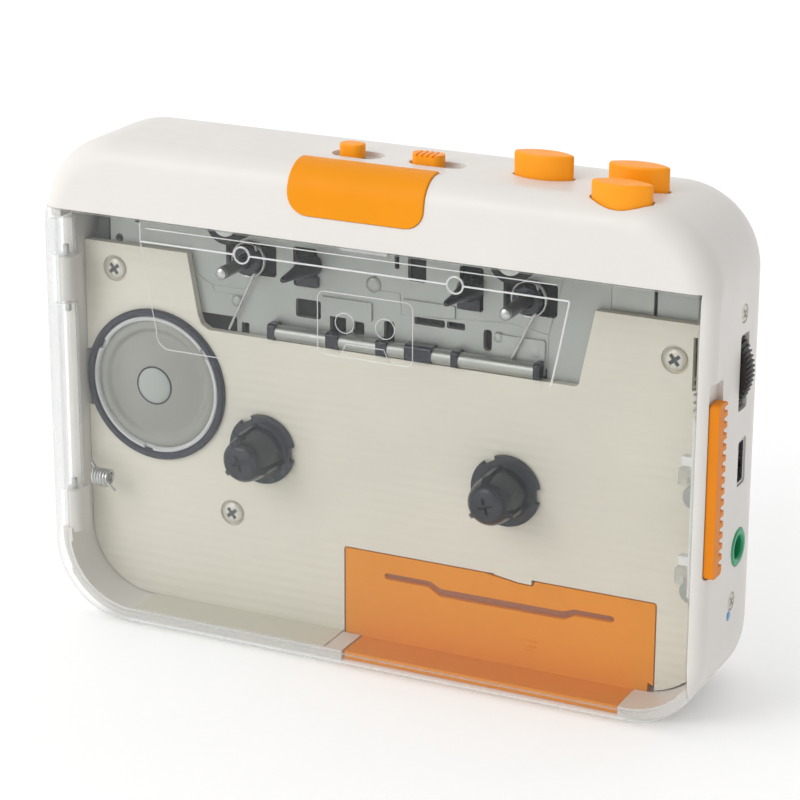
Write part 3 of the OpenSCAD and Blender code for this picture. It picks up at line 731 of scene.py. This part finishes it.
def build_panel():
    r = CORNER_R - WALL - 0.1
    left, right = -INNER_X + 0.1, INNER_X - 0.4
    panel = prism(rounded(left, WALL + 0.1, right, PANEL_TOP, (r, r, 0.4, 0.4), 16), PANEL_Y, PANEL_BACK)
    bat_lo, bat_hi = box("battery_cover")
    through = (PANEL_Y - 1, PANEL_BACK + 1)
    tools = [prism(CUT_OUT, *through),
             prism(rounded(bat_lo.x - 0.2, -5, bat_hi.x + 0.2, bat_hi.z + 0.2, 0.5), *through),
             rod((speaker.x, speaker.z), SPEAKER_R - 0.4, *through, steps=72)]
    tools += [rod((hub.x, hub.z), 5.0, *through) for hub in hubs.values()]
    tools += [rod(spot, 2.2, PANEL_Y - 1, PANEL_Y + 0.6) for spot in PANEL_SCREWS]
    # notches at the loudspeaker and at the right edge
    tools += [block(left - 1, through[0], 33.4, left + 0.9, through[1], 43.0),
              block(49.7, through[0], 51.2, 50.4, through[1], 59.5)]
    carve(panel, tools)
    parts = [panel]
    parts += [ring(spot, 2.6, 0.85, PANEL_BACK - 0.01, BACK_Y - WALL - 0.1, chamfer=0.15) for spot in POSTS]
    for x0, x1 in ((bat_lo.x - 1.5, bat_lo.x - 0.2), (bat_hi.x + 0.2, bat_hi.x + 1.5)):
        parts.append(block(x0, PANEL_BACK - 0.01, 3.2, x1, 6.5, 18))
    parts.append(block(bat_lo.x - 0.2, PANEL_BACK - 0.01, 16.8, bat_hi.x + 0.2, 12.5, 18))
    # tongue in the dip of the battery cover, and the floor of the well beside it
    top = bat_hi.z
    parts.append(prism([(18.2, top + 0.25), (18.2, top + 0.05), (22.4, top - 0.6), (24.6, top - 0.65),
                        (24.6, top + 0.25)], PANEL_Y + 0.05, PANEL_BACK - 0.05))
    parts.append(block(-43.0, RIM_Y + 0.45, WALL + 0.02, bat_lo.x - 0.4, PANEL_Y + 0.05, WALL + 0.2))
    publish(parts, "deck_panel", panel_mat, "case", ["chassis_panel"], bevel=0.14)


def build_panel_screws():
    parts = cross_screws(PANEL_SCREWS, PANEL_Y - 0.3, 1.75, 0.9, "y", -1, 0.7,
                         (PANEL_Y + 0.55, PANEL_BACK), 40)
    publish(parts, "deck_screws", screw_mat, "case", ["panel_screws"], bevel=0.05)
    # dark crosses set into the cross recesses: painted shade in the screw heads
    crosses = [prism(cross_points(spot, 1.75), PANEL_Y - 0.06, PANEL_Y + 0.1) for spot in PANEL_SCREWS]
    publish(crosses, "deck_screw_recess_shade", dark_plate_mat, "case")


def groove_outline():
    """The long finger groove, lower in its middle."""
    upper = [(-0.2, 13.1), (7.2, 13.1), (9.2, 12.15), (30.0, 12.25), (31.8, 12.9), (38.0, 12.95)]
    lower = [(38.0, 11.95), (31.9, 11.9), (30.2, 10.95), (9.0, 10.85), (7.0, 12.1), (-0.2, 12.1)]
    left = arc_points(-0.2, 12.6, 0.5, 270, 90, 8)
    right = arc_points(38.0, 12.45, 0.5, 90, -90, 8)
    return left[1:-1] + upper + right[1:-1] + lower


def build_battery_cover():
    lo, hi = box("battery_cover")
    plate = prism([(lo.x + 2.3, lo.z), (hi.x - 2.4, lo.z), (hi.x - 0.9, 0.6), (hi.x - 0.9, 3.1),
                   (hi.x, 2.6), (hi.x, hi.z - 0.3), (hi.x - 0.3, hi.z), (25.1, hi.z),
                   (24.8, hi.z - 0.85), (22.4, hi.z - 0.8), (18.0, hi.z - 0.2), (16.5, hi.z),
                   (lo.x, hi.z), (lo.x, 0.9), (lo.x + 2.3, 0.9)], PANEL_Y, PANEL_BACK)
    foot = block(lo.x + 3.0, FRONT_Y + 3.8, lo.z, hi.x - 3.2, PANEL_Y + 0.4, lo.z + 1.4)
    carve(plate, [foot], "UNION")
    carve(plate, [prism(groove_outline(), PANEL_Y - 1, PANEL_Y + 0.7)])
    publish(plate, "battery_cover_plate", battery_mat, "battery_door", ["battery_cover"],
            bevel=0.14)
    # a dark brown floor set into the groove: painted shade at its bottom
    floor = prism(groove_outline(), PANEL_Y + 0.62, PANEL_Y + 0.75)
    publish(floor, "battery_cover_groove_shade", groove_shade_mat, "battery_door")
    # slide sign: two bars over a triangle
    sx, sz = 24.4, 4.6
    arrow = [(sx - 1.0, sz + 0.1), (sx, sz - 1.1), (sx + 1.0, sz + 0.1)]
    marks = [ridge([(sx - half, sz + up), (sx + half, sz + up)], PANEL_Y, 0.36, 0.2)
             for half, up in ((1.4, 1.7), (1.2, 0.8))] + [prism(arrow, PANEL_Y - 0.12, PANEL_Y + 0.1)]
    publish(marks, "battery_cover_sign", battery_mat, "battery_door", bevel=0.04)


# ---- tape transport ----

def hub_piece(side, centre):
    tip_y = box("hub_" + side)[0].y
    flange_y = PANEL_Y - 0.9
    profile = [(0, PANEL_BACK + 0.3), (4.7, PANEL_BACK + 0.3), (4.7, PANEL_Y - 0.2), (5.75, PANEL_Y - 0.2),
               (5.75, flange_y), (5.3, flange_y - 0.12), (4.5, flange_y - 0.15), (4.1, flange_y - 0.5),
               (3.75, tip_y + 3.0), (3.4, tip_y + 1.3), (2.9, tip_y + 0.5), (2.2, tip_y + 0.05), (0, tip_y)]
    spot = (centre.x, centre.z)
    body = lathe(profile, spot, steps=56)
    # three notches in the flange, and a cross in the tip
    notch = [(-1.1, 5.1), (1.1, 5.1), (1.1, 7.0), (-1.1, 7.0)]
    bar = [(-1.4, -0.27), (1.4, -0.27), (1.4, 0.27), (-1.4, 0.27)]
    cuts = [prism(turned(notch, spot, math.radians(30 + 120 * k)), flange_y - 1, PANEL_Y) for k in range(3)]
    cuts += [prism(turned(bar, spot, math.radians(20 + 90 * k)), tip_y - 1, tip_y + 0.9) for k in range(2)]
    parts = [carve(body, cuts)]
    fin = [(2.4, tip_y + 0.9), (3.3, tip_y + 0.7), (4.3, tip_y + 1.9), (4.5, flange_y + 0.02),
           (2.4, flange_y + 0.02)]
    for k in range(3):
        bm = bmesh.new()
        loops = []
        for w in (-0.4, 0.4):
            spots = turned([(r, w) for r, _ in fin], spot, math.radians(-20 + 120 * k))
            loops.append([bm.verts.new((x, y, z)) for (x, z), (_, y) in zip(spots, fin)])
        parts.append(skin(bm, loops))
    publish(parts, "reel_hub_" + side, black_mat, "reel_" + side, ["hub_" + side],
            bevel=0.16, segments=3)


def build_plate():
    """Zinc mechanism plate with its windows, slots and pressed steps."""
    y0, y1 = PLATE_Y, PLATE_Y + 1.0
    pts = [(-50.6, 70.0), (36.0, 70.0), (36.0, 46.0), (-30.5, 46.0), (-32.5, 49.0), (-34.5, 50.6),
           (-37.5, 52.5), (-37.5, 60.6), (-50.6, 60.6)]
    plate = prism(pts, y0, y1)
    windows = [(-29.4, 59.0, -20.4, 64.2, 0.6), (-17.4, 58.2, -13.2, 64.6, 0.5),
               (11.2, 58.2, 15.2, 65.2, 0.5), (18.5, 58.9, 27.4, 64.3, 0.7), (2.5, 61.6, 5.6, 68.0, 0.4),
               (0.2, 63.2, 1.0, 68.0, 0.3), (3.6, 54.8, 8.8, 56.0, 0.3), (9.1, 54.9, 12.2, 56.0, 0.3),
               (-1.6, 50.8, 0.2, 54.6, 0.4), (15.3, 52.2, 16.7, 55.6, 0.6),
               (-17.0, 53.2, -12.6, 56.2, 0.4), (-34.6, 48.0, -27.6, 51.6, 0.3),
               (-26.8, 48.0, -25.4, 50.9, 0.2), (-22.2, 48.0, -19.6, 51.3, 0.3),
               (2.4, 48.0, 8.2, 51.3, 0.3), (10.9, 48.0, 12.2, 51.4, 0.2),
               (-11.0, 50.0, -8.2, 55.0, 0.4), (-7.0, 51.6, -5.0, 53.8, 0.4),
               (-2.2, 48.0, 0.2, 50.4, 0.3), (24.6, 48.0, 25.9, 50.8, 0.2),
               (-46.0, 65.0, -45.2, 70.0, 0.1)]
    tools = [prism(rounded(*w), y0 - 1, y1 + 1) for w in windows]
    tools.append(rod((-49.0, 62.0), 0.7, y0 - 1, y1 + 1, steps=20))
    carve(plate, tools)
    # pressed seams on the face
    seams = [[(-35.9, 58.5), (-31.9, 56.4), (-25.4, 56.4)], [(-31.9, 56.4), (-31.6, 55.4), (-25.6, 55.3)],
             [(1.2, 59.4), (1.4, 55.9), (19.7, 57.2), (26.1, 56.2), (26.1, 49.0)],
             [(-3.0, 62.0), (-3.2, 59.4), (1.2, 59.4)], [(26.1, 56.2), (28.4, 66.0)]]
    carve(plate, [tube([(x, y0, z) for x, z in s], 0.11, 6) for s in seams])
    # raised pads, a rivet and pressed domes
    parts = [plate]
    for spot, r, h in (((-27.5, 54.3), 1.0, 0.5), ((24.0, 53.2), 1.45, 0.45), ((17.9, 54.6), 0.95, 0.55),
                       ((-3.4, 60.2), 1.3, 0.5)):
        profile = [(0, y0 + 0.1), (r, y0 + 0.1), (r, y0 - 0.1), (0.8 * r, y0 - 0.6 * h),
                   (0.45 * r, y0 - 0.92 * h), (0, y0 - h)]
        parts.append(lathe(profile, spot, steps=32))
    pads = [rounded(1.6, 56.6, 10.6, 58.6, 0.3), rounded(16.9, 49.4, 25.6, 55.2, 0.4),
            rounded(-12.4, 54.2, -3.6, 57.2, 0.3)]
    parts += [prism(pad, y0 - 0.35, y0 + 0.1) for pad in pads]
    publish(parts, "mechanism_face", steel_plate_mat, "case", ["mechanism_plate"],
            bevel=0.09)
    # thin near-black sheets just behind the windows: painted shade, not a part of the mechanism
    dark = [block(x0, y1 + 0.3, z0, 30.0, y1 + 0.7, z1)
            for x0, z0, z1 in ((-31.5, 57.0, 66.5), (-34.8, 47.0, 56.6))]
    publish(dark, "mechanism_painted_shade", painted_shade_mat, "case", bevel=0.1)


def build_transport_parts():
    lo, hi = box("guide_bar")
    _, cy, cz = middle("guide_bar")
    r = hi.z - cz
    profile = [(0, lo.x), (r - 0.25, lo.x), (r, lo.x + 0.25), (r, hi.x - 0.25), (r - 0.25, hi.x), (0, hi.x)]
    publish(lathe(profile, (cy, cz), "x", 40), "guide_rod", keeper_mat, "case", ["guide_bar"])
    band = rounded(cy - r - 0.1, cz - r, cy + r + 0.1, cz + r + 0.3, 0.6)
    clamps = [prism(band, x0, x1, "x") for x0, x1 in (
        (-20.9, -19.6), (-10.6, -8.4), (-1.9, 0.0), (3.0, 7.6), (10.9, 12.1), (24.6, 25.5))]
    publish(clamps, "guide_rod_bands", black_mat, "case", bevel=0.1)

    # black tape guides: a round foot and a tapered beak
    parts = []
    lo, hi = box("guide_pins")
    for x in (-14.2, 13.4):
        z = 62.0
        profile = [(0, PLATE_Y + 1.0), (1.9, PLATE_Y + 1.0), (1.9, -5.0), (1.3, -6.6), (0.8, -9.8),
                   (0.5, lo.y + 0.5), (0.3, lo.y), (0, lo.y)]
        parts.append(lathe(profile, (x, z), steps=32))
        fin = prism([(-3.4, z - 1.9), (-3.4, z + 2.3), (-7.2, z + 1.3), (-10.8, z + 0.4), (-10.8, z - 0.4)],
                    x - 0.45, x + 0.45, "x")
        parts.append(fin)
        parts.append(prism(rounded(x - 2.4, 58.4, x + 1.4, 60.2, 0.3), PLATE_Y - 0.6, PLATE_Y + 0.8))
    publish(parts, "tape_guides", black_mat, "case", ["guide_pins"], bevel=0.15)

    for side, c in capstans.items():
        lo, hi = box("capstan_" + side)
        r = hi.x - c.x
        # the shaft in darkened steel, painted shade; the tip in plain steel
        profile = [(0, lo.y + 0.9), (r - 0.2, lo.y + 0.9), (r, lo.y + 1.1), (r, hi.y - 0.2), (r - 0.2, hi.y),
                   (0, hi.y)]
        publish(lathe(profile, (c.x, c.z), steps=32), "capstan_shaft_" + side, shaded_steel_mat, "drive_" + side,
                ["capstan_" + side])
        profile = [(0, lo.y - 0.2), (0.5 * r, lo.y - 0.2), (r - 0.1, lo.y + 0.1), (r, lo.y + 0.5),
                   (r - 0.1, lo.y + 0.95), (0, lo.y + 0.95)]
        publish(lathe(profile, (c.x, c.z), steps=32), "capstan_tip_" + side, steel_mat, "drive_" + side)
    parts = [ring((c.x, c.z), 2.35, 1.05, PANEL_Y - 0.4, 3.0, chamfer=0.2) for c in capstans.values()]
    publish(parts, "capstan_bearings", black_mat, "case", ["capstan_bushes"])
    parts = []
    for c in capstans.values():
        path = coil((c.x, PLATE_Y - 0.95, c.z), "y", 2.75, 2.25, 0.7, start=math.radians(60))
        leg = [Vector((c.x - 3.6, PLATE_Y - 0.8, c.z - 11.9)), Vector((c.x + 1.9, PLATE_Y - 0.95, c.z - 0.4))]
        parts.append(tube(leg + path, 0.2, 8))
    publish(parts, "torsion_springs", steel_mat, "case", ["capstan_springs"])
    blocks = [(-53.2, 60.4, -51.0, 70.0, dark_plate_mat, "side_block"),
              (35.6, 60.2, 42.8, 70.0, keeper_mat, "deck_block_a"),
              (43.2, 60.2, 49.8, 70.0, steel_plate_mat, "deck_block_b")]
    for x0, z0, x1, z1, mat, name in blocks:
        publish(prism(rounded(x0, z0, x1, z1, 0.4), PLATE_Y + 0.1, PLATE_Y + 2.6), name, mat, "case",
                bevel=0.25)


def build_rollers():
    for side in ("left", "right"):
        node = "pinch_roller_" + side
        lo, hi = box(node)
        c = middle(node)
        r = hi.x - c.x
        tyre = ring((c.x, c.z), r, r - 1.4, lo.y + 0.2, hi.y - 0.2, chamfer=0.25)
        publish(tyre, "pinch_tyre_" + side, rubber_mat, "roller_" + side, [node])
        core = ring((c.x, c.z), r - 1.35, 0.9, lo.y, hi.y, chamfer=0.15)
        publish(core, "pinch_core_" + side, white_mat, "roller_" + side)


# ---- loudspeaker ----

def build_speaker():
    c = (speaker.x, speaker.z)
    y = PANEL_Y
    R = SPEAKER_R
    profile = [(11.3, y + 0.35), (11.5, y - 0.55), (11.8, y - 0.8), (R - 0.25, y - 0.8), (R, y - 0.55),
               (R, y), (R - 0.5, y + 0.02), (R - 0.5, -0.02), (4.0, -0.02), (4.0, -0.8), (10.9, -0.8),
               (11.3, -1.2)]
    basket = lathe(profile, c, steps=96)
    publish(basket, "speaker_basket", frame_mat, "case", ["speaker_ring"])
    rim = lathe([(10.75, y + 0.5), (10.75, y - 0.35), (10.95, y - 0.6), (11.35, y - 0.6), (11.55, y - 0.3),
                 (11.5, y + 0.5)], c, steps=96)
    cuts = []
    for a in (35, 150, 262):
        t = math.radians(a)
        x, z = c[0] + 11.3 * math.cos(t), c[1] + 11.3 * math.sin(t)
        cuts.append(block(x - 0.8, y - 2, z - 0.8, x + 0.8, y + 0.1, z + 0.8))
    carve(rim, cuts)
    publish(rim, "speaker_rim", relief_mat, "case", bevel=0.06)
    top = [(11.0, 0.35), (10.4, -0.1), (9.7, -0.25), (9.2, -0.1), (8.9, 0.3), (8.5, 0.45), (7.9, 0.3),
           (6.0, -0.2), (4.5, -0.55), (3.4, -0.8), (3.1, -0.8)]
    outer = [(r, y + d) for r, d in top]
    inner = [(r, y + d + 0.25) for r, d in reversed(top)]
    cone = lathe(outer + inner, c, steps=96)
    publish(cone, "speaker_membrane", cone_mat, "case", ["speaker_cone"])
    dome_r = 3.0
    pts = [(dome_r * math.sin(math.radians(a)), y - 0.8 - 0.5 * math.cos(math.radians(a)))
           for a in (90, 75, 60, 45, 30, 15)]
    dome = lathe(pts + [(0, y - 1.3), (0, y + 1.9), (dome_r, y + 1.9)], c, steps=64)
    publish(dome, "speaker_cap", dome_mat, "case", ["speaker_dome"])
    groove = lathe([(2.98, y - 0.86), (3.24, y - 0.86), (3.24, y - 0.5), (2.98, y - 0.5)], c, steps=64)
    publish(groove, "speaker_cap_edge", frame_mat, "case")


# ---- keys, switches, slider and wheel ----

def build_keys():
    keys = (("play_button", "play_key", play), ("fast_forward_button", "forward_key", forward),
            ("stop_button", "stop_key", stop))
    for node, body, spot in keys:
        lo, hi = box(node)
        cap = prism(key_outline(spot), lo.z + 3.0, hi.z, "z")
        stem = rod((spot.x, spot.y), 1.4, lo.z, lo.z + 3.0, "z", steps=24)
        publish([cap, stem], "key_" + body[:-4], orange_mat, body, [node], bevel=0.55, segments=4,
                angle=50)


def switch_knob(node, spot, half_x, half_y):
    """A small oval knob on a square stem, not yet published."""
    lo, hi = box(node)
    knob = prism(slot_outline(spot.x - half_x, spot.x + half_x, spot.y, half_y), TOP_Z - 0.6, hi.z, "z")
    return knob, block(spot.x - 0.8, spot.y - 0.9, lo.z, spot.x + 0.8, spot.y + 0.9, TOP_Z - 0.55)


def build_switches():
    knob, stem = switch_knob("power_switch", power, 0.6, 1.45)
    publish([knob, stem], "power_knob", orange_mat, "power_slide", ["power_switch"],
            bevel=0.3, segments=3)
    knob, stem = switch_knob("mode_switch", mode, 1.2, 1.4)
    top = box("mode_switch")[1].z
    carve(knob, [block(mode.x + i * 0.9 - 0.18, mode.y - 3, top - 0.35, mode.x + i * 0.9 + 0.18, mode.y + 3,
                       top + 1) for i in (-1.5, -0.5, 0.5, 1.5)])
    publish([knob, stem], "mode_knob", orange_mat, "mode_slide", ["mode_switch"],
            bevel=0.16)


def build_slider():
    x0, x1 = SIDE_X - 0.7, slider_hi.x
    bar = prism(rounded(slider_lo.y, slider_lo.z, slider_hi.y, slider_hi.z, 0.7), x0, x1, "x")
    # ribs along the rear edge
    grooves = [slider_lo.z + 1.4 + 1.72 * i for i in range(15)]
    carve(bar, [block(x1 - 0.45, slider_hi.y - 1.5, z, x1 + 1, slider_hi.y + 1, z + 0.85) for z in grooves])
    stem = block(54.5, slider_lo.y + 1.2, 34.2, x0 + 0.05, slider_hi.y - 1.0, 43.9)
    publish([bar, stem], "door_slider", slider_mat, "latch", ["open_slider"], bevel=0.16)
    lo, hi = box("latch_spring")
    c = middle("latch_spring")
    path = coil((c.x, c.y, lo.z + 0.25), "z", hi.x - c.x - 0.25, 5.0, hi.z - lo.z - 0.5)
    spring = publish(tube(path, 0.24, 8), "slider_spring", steel_mat, "case", ["latch_spring"])
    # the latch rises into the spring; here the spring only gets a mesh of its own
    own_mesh(spring)


def build_wheel():
    lo, hi = wheel_lo, wheel_hi
    r = hi.z - wheel.z  # to the tips of the teeth
    teeth = 64
    pts = []
    for k in range(teeth):
        for da, rr in ((-0.30, r - 0.38), (-0.18, r), (0.18, r), (0.30, r - 0.38)):
            a = 2 * math.pi * (k + da) / teeth
            pts.append((wheel.x + rr * math.cos(a), wheel.z + rr * math.sin(a)))
    disc = prism(pts, lo.y, hi.y)
    carve(disc, [rod((wheel.x, wheel.z), 1.55, lo.y - 1, hi.y + 1),
                 ring((wheel.x, wheel.z), r - 1.6, 3.0, lo.y - 1, lo.y + 0.4)])
    publish(disc, "volume_dial", wheel_mat, "wheel", ["volume_wheel"], bevel=0.12)


# ---- sockets, lamp and screws on the side ----

def build_side():
    y, z = JACK
    x1 = box("headphone_jack")[1].x
    profile = [(1.8, 44.6), (3.0, 44.6), (3.0, x1 - 0.25), (2.75, x1), (2.1, x1), (1.8, x1 - 0.3)]
    collar = lathe(profile, (y, z), "x", 48)
    case_block = prism(rounded(y - 2.5, z - 3, y + 2.5, z + 3, 0.4), 43.0, INNER_X - 0.25, "x")
    carve(case_block, [rod((y, z), 2.9, 44.5, SIDE_X, "x")])
    publish([collar, case_block], "phone_socket", jack_mat, "case", ["headphone_jack"],
            bevel=0.08)
    y, z = USB
    x1 = box("usb_socket")[1].x
    outer = prism(rounded(y - 1.5, z - 3.5, y + 1.5, z + 3.5, 0.5), 46.0, x1, "x")
    carve(outer, [prism(rounded(y - 1.15, z - 3.15, y + 1.15, z + 3.15, 0.35), 47.0, x1 + 1, "x")])
    publish(outer, "power_socket", steel_mat, "case", ["usb_socket"], bevel=0.06)
    tongue = prism(rounded(y - 0.35, z - 2.4, y + 0.35, z + 2.4, 0.15), 46.9, x1 - 1.2, "x")
    publish(tongue, "power_socket_tongue", black_mat, "case", bevel=0.05)
    lens = lathe([(0, INNER_X), (0.8, INNER_X), (0.8, SIDE_X - 0.1), (0.55, SIDE_X + 0.1),
                  (0, SIDE_X + 0.16)], (led.y, led.z), "x", 24)
    publish(lens, "lamp", led_mat, "case", ["status_led"])
    parts = cross_screws(SIDE_SCREWS, SIDE_X + 0.05, 1.4, 0.75, "x", 1, 0.5, (53.8, SIDE_X - 0.65))
    publish(parts, "side_fasteners", screw_mat, "case", ["side_screws"], bevel=0.04)
    parts = cross_screws(POSTS, BACK_Y - 0.2, 2.1, 0.8, "y", 1, 0.6, (5.0, BACK_Y - 0.95))
    publish(parts, "rear_fasteners", steel_mat, "case", ["rear_screws"], bevel=0.05)


def build_well_metal():
    parts = [prism(arc_points(51.0, z, 1.9, 90, 270, 18), PANEL_Y - 0.8, PANEL_Y) for z in (19.6, 34.8)]
    publish(parts, "door_keepers", keeper_mat, "case", ["latch_keepers"], bevel=0.15)
    lo, hi = box("door_spring")
    c = middle("door_spring")
    path = coil((lo.x + 0.28, c.y, c.z), "x", hi.z - c.z - 0.28, 5.5, hi.x - lo.x - 0.56)
    path = [path[0] + Vector((-1.2, -0.4, 2.0))] + path + [path[-1] + Vector((1.6, 0.2, -1.6))]
    publish(tube(path, 0.27, 8), "hinge_spring", steel_mat, "case", ["door_spring"])
    lo, hi = box("hinge_pins")
    parts = [rod((HINGE_X, HINGE_Y), 0.5, low, high, "z", chamfer=0.12, steps=20)
             for low, high in ((lo.z, 22.1), (50.7, hi.z))]
    publish(parts, "hinge_axles", steel_mat, "case", ["hinge_pins"])


build_shell()
build_rear()
build_badge()
build_door()
build_relief()
build_panel()
build_panel_screws()
build_battery_cover()
for side_name, place_of in hubs.items():
    hub_piece(side_name, place_of)
build_plate()
build_transport_parts()
build_rollers()
build_speaker()
build_keys()
build_switches()
build_slider()
build_wheel()
build_side()
build_well_metal()

# ---- inner parts shown as the CAD drew them, with their finishes ----

INNER = {
    "flywheel_left": brass_mat, "flywheel_right": brass_mat, "drive_belt": rubber_mat,
    "motor": steel_plate_mat, "motor_pulley": brass_mat, "reel_table_left": white_mat,
    "reel_table_right": white_mat, "speaker_magnet": magnet_mat, "circuit_board": board_mat,
    "volume_pot": black_mat, "slide_switches": steel_plate_mat, "latch_bar": white_mat,
    "battery_cell": wrap_mat, "battery_contacts": steel_mat, "head_carriage": steel_plate_mat,
    "playback_head": steel_mat, "roller_arms": white_mat,
}
for node_name, finish in INNER.items():
    node_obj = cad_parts[node_name]
    node_obj.data.materials.clear()
    node_obj.data.materials.append(finish)
    edge_bevel(node_obj, 0.15, 2, 35)

bpy.data.collections.remove(scratch)


# ---- floor, light and camera ----

def build_stage():
    bm = bmesh.new()
    half, back, rise, radius = 2.8, 0.9, 1.6, 0.5
    rows = [(-2.2, 0.0)]
    for k in range(13):
        a = math.radians(90 * k / 12)
        rows.append((back + radius * math.sin(a), radius - radius * math.cos(a)))
    rows.append((back + radius, rise))
    loops = [[bm.verts.new((x, y, z)) for x in (-half, half)] for y, z in rows]
    for a, b in zip(loops, loops[1:]):
        bm.faces.new((a[0], a[1], b[1], b[0]))
    mesh = mesh_from(bm, "floor")
    mesh.shade_smooth()
    floor = show("floor", mesh)
    paper = surface("paper", (0.97, 0.97, 0.97), 0.7, grain=0.05, blotch=0.0, specular=0.2)
    shader = paper.node_tree.nodes["Principled BSDF"]
    shader.inputs["Emission Color"].default_value = (1, 1, 1, 1)
    shader.inputs["Emission Strength"].default_value = 0.1
    mesh.materials.append(paper)


def area_light(name, where, target, size, power):
    data = bpy.data.lights.new(name, "AREA")
    data.shape = "RECTANGLE"
    data.size, data.size_y = size
    data.energy = power
    lamp = show(name, data)
    lamp.location = where
    lamp.rotation_euler = (Vector(target) - Vector(where)).to_track_quat("-Z", "Y").to_euler()


def build_light():
    world = bpy.data.worlds.new("studio")
    bpy.context.scene.world = world
    world.use_nodes = True
    tree = world.node_tree
    background = tree.nodes["Background"]
    background.inputs["Color"].default_value = (1.0, 1.0, 1.0, 1)
    # a white room that is dimmer on the right
    split = tree.nodes.new("ShaderNodeSeparateXYZ")
    tree.links.new(add(tree, "TexCoord").outputs["Generated"], split.inputs["Vector"])
    tree.links.new(remap(tree, split.outputs["X"], (-1, 1), (1.4, 0.3)), background.inputs["Strength"])
    area_light("key", (-0.55, -0.95, 0.75), (0, 0, 0.04), (0.6, 0.6), 4)
    bpy.context.scene.view_settings.view_transform = "Standard"


def build_camera():
    """A long lens that looks a little down on the front right corner."""
    azimuth, elevation, roll = (math.radians(a) for a in (25.547, 18.821, 0.251))
    target = Vector((1.636, 0.0, 41.751)) * MM
    away = Vector((math.sin(azimuth) * math.cos(elevation), -math.cos(azimuth) * math.cos(elevation),
                   math.sin(elevation)))
    data = bpy.data.cameras.new("camera")
    data.sensor_width = 36.0
    data.lens = 128.51
    data.shift_x = -0.01398
    data.shift_y = -0.00455
    data.clip_start = 0.01
    data.clip_end = 20.0
    camera = show("camera", data)
    turn = (-away).to_track_quat("-Z", "Y").to_matrix().to_4x4()
    camera.matrix_world = Matrix.Translation(target + away * 447.746 * MM) @ turn @ Matrix.Rotation(
        roll, 4, "Z")
    bpy.context.scene.camera = camera


build_stage()
build_light()
build_camera()
